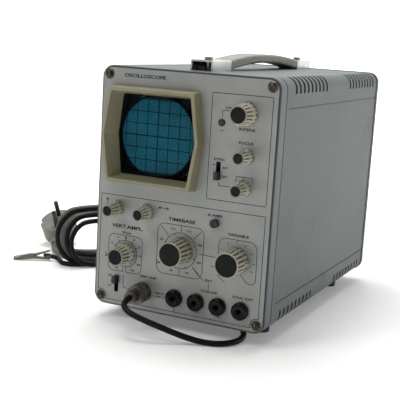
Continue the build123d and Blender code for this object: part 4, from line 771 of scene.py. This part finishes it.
# ---------------------------------------------------------------- graticule
GRID_SQUARE, GRID_SQUARES = 10.0, 3            # a square's side, mm, and the squares each way from the middle
GRID_HALF, MIDDLE_RISE, MIDDLE_REACH = 30.0, 31.5, 33.0
GRID_LINE, TICK_LINE = 0.5, 0.3
SHORT_TICK, LONG_TICK = 0.6, 1.0
PLATE_GAP = 0.05
grid_ink = worn("graticule_ink", "020608", "04090c", dirt="1b2b30", rubbed="20343a", mottle_scale=200.0,
                mottle=0.5, film=0.1, specks=0.1, scratches=0.0, wear=0.0, grain_scale=900.0,
                grain=0.000002, roughness=0.7, specular=0.02)
plate_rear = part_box("graticule_plate")[1].y / MM
grid_x, grid_z = SCREEN_X, SCREEN_Z - BODY_BASE
grid = []
for step in range(-GRID_SQUARES, GRID_SQUARES + 1):
    x, half = grid_x + step * GRID_SQUARE, GRID_HALF if step else MIDDLE_RISE
    grid.append([(x, grid_z - half), (x, grid_z + half)])
for step in range(-GRID_SQUARES, GRID_SQUARES + 1):
    z, half = grid_z + step * GRID_SQUARE, GRID_HALF if step else MIDDLE_REACH
    grid.append([(grid_x - half, z), (grid_x + half, z)])
lines = [ribbon(path, GRID_LINE, plate_rear + PLATE_GAP) for path in grid]
for step in range(-29, 30):
    half = SHORT_TICK if step % 5 else LONG_TICK
    for tick in ([(grid_x + step, grid_z - half), (grid_x + step, grid_z + half)],
                 [(grid_x - half, grid_z + step), (grid_x + half, grid_z + step)]):
        lines.append(ribbon(tick, TICK_LINE, plate_rear + PLATE_GAP))
add_piece("graticule_lines", *join_parts(lines), grid_ink, slot="filter")


# ---------------------------------------------------------------- knurled band and ring on the test lead plug
PLUG_SKIN = 7.9                                # radius inside both rings, mm
# name: near and far side ahead of the plug's rear, radius, sides and knurl depth
RINGS = {"plug_knurled_band": (2.6, 8.4, 8.35, 96, 0.28), "plug_collar_ring": (10.2, 11.2, 8.25, 64, 0.0)}


def turned(profile, sides, knurl):
    """Ring surface: a profile of distance along the axis, radius and share of the knurl, carried round the
    axis; every other side is sunk by the knurl. The profile is closed, so the ring has no open edge."""
    profile = np.array(profile, float)
    angle = np.linspace(0, 2 * math.pi, sides, endpoint=False)
    sunk = np.where(np.arange(sides) % 2, knurl, 0.0)
    radius = profile[:, 1][:, None] - sunk[None, :] * profile[:, 2][:, None]
    x = radius * np.cos(angle)
    z = radius * np.sin(angle)
    y = np.repeat(profile[:, 0][:, None], sides, 1)
    points = np.stack([x, y, z], -1).reshape(-1, 3)
    i, j = np.meshgrid(np.arange(len(profile)), np.arange(sides), indexing="ij")
    i2, j2 = (i + 1) % len(profile), (j + 1) % sides
    faces = np.stack([i * sides + j, i * sides + j2, i2 * sides + j2, i2 * sides + j], -1).reshape(-1, 4)
    return points, faces


plug_low, plug_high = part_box("input_plug")
plug_x = (plug_low.x + plug_high.x) / 2 / MM
plug_z = (plug_low.z + plug_high.z) / 2 / MM
plug_back = plug_high.y / MM
for name, (near, far, outer, sides, knurl) in RINGS.items():
    profile = [(plug_back - near, PLUG_SKIN, 0), (plug_back - near, outer, 1), (plug_back - far, outer, 1),
               (plug_back - far, PLUG_SKIN, 0)]
    points, faces = turned(profile, sides, knurl)
    points = (points + np.array([plug_x, 0.0, plug_z])) * MM
    add_piece(name, points, faces, plug_metal, slot="plug_metal").data.flip_normals()


# ---------------------------------------------------------------- floor and light
FLOOR_FRONT, FLOOR_BEND, FLOOR_HALF = -9.0, 1.6, 9.0
FLOOR_RISE = 4.0
GLOW_NEAR, GLOW_FAR = 0.16, 0.75
# name, place, height aimed at, size, power
LIGHTS = [("key_light", (-0.9, -1.3, 1.7), 0.15, 0.9, 15.0), ("fill_light", (1.7, -0.6, 1.2), 0.1, 1.0, 0.6),
          ("top_light", (-0.25, 0.25, 1.9), 0.1, 1.2, 30.0)]
WORLD_STRENGTH = 0.12


def make_floor():
    """Plain pale floor that curves up behind the object and glows, faintly near the object and more away from
    it: painted light.
    """
    bend = np.linspace(0.1, math.pi / 2, 12)
    along = np.concatenate([np.linspace(FLOOR_FRONT, FLOOR_BEND, 3), FLOOR_BEND + np.sin(bend),
                            [FLOOR_BEND + 1.0]])
    rise = np.concatenate([np.zeros(3), 1 - np.cos(bend), [FLOOR_RISE]])
    across = np.array([-FLOOR_HALF, FLOOR_HALF])
    points = np.stack([np.repeat(across[None, :], len(along), 0), np.repeat(along[:, None], 2, 1),
                       np.repeat(rise[:, None], 2, 1)], -1).reshape(-1, 3)
    i = np.arange(len(along) - 1) * 2
    mesh = bpy.data.meshes.new("floor")
    mesh.from_pydata(points.tolist(), [], np.c_[i, i + 1, i + 3, i + 2].tolist())
    material, weave, shader, here = start_material("studio_paper")
    fibre = weave.noise(here, 60.0, 4.0)
    weave.tree.links.new(weave.mix(fibre, tint("f4f4f3"), tint("efefee")), shader.inputs["Base Color"])
    shader.inputs["Roughness"].default_value = 0.9
    split = weave.add("ShaderNodeSeparateXYZ", None, Vector=here).outputs
    # painted light: the floor glows, dimmer near the object and brighter away from it
    away = weave.ramp(weave.radius(split[0], split[1]), 0.25, 1.3)
    glow = weave.mix(away, (GLOW_NEAR,) * 3 + (1.0,), (GLOW_FAR,) * 3 + (1.0,))
    weave.tree.links.new(glow, shader.inputs["Emission Color"])
    shader.inputs["Emission Strength"].default_value = 1.0
    mesh.materials.append(material)
    floor = bpy.data.objects.new("floor", mesh)
    bpy.context.scene.collection.objects.link(floor)


def add_light(name, place, aim, size, power):
    """Square soft white light at a place, pointed at an aim."""
    data = bpy.data.lights.new(name, "AREA")
    data.shape = "SQUARE"
    data.size = size
    data.energy = power
    lamp = bpy.data.objects.new(name, data)
    turn = (Vector(place) - Vector(aim)).to_track_quat("Z", "Y")
    lamp.matrix_world = Matrix.Translation(place) @ turn.to_matrix().to_4x4()
    bpy.context.scene.collection.objects.link(lamp)


make_floor()
for name, place, aim_height, size, power in LIGHTS:
    add_light(name, place, (0, 0, aim_height), size, power)
world = bpy.data.worlds.new("studio")
world.use_nodes = True
world.node_tree.nodes["Background"].inputs["Color"].default_value = (1.0, 1.0, 1.0, 1.0)
world.node_tree.nodes["Background"].inputs["Strength"].default_value = WORLD_STRENGTH
bpy.context.scene.world = world
bpy.context.scene.view_settings.view_transform = "Standard"
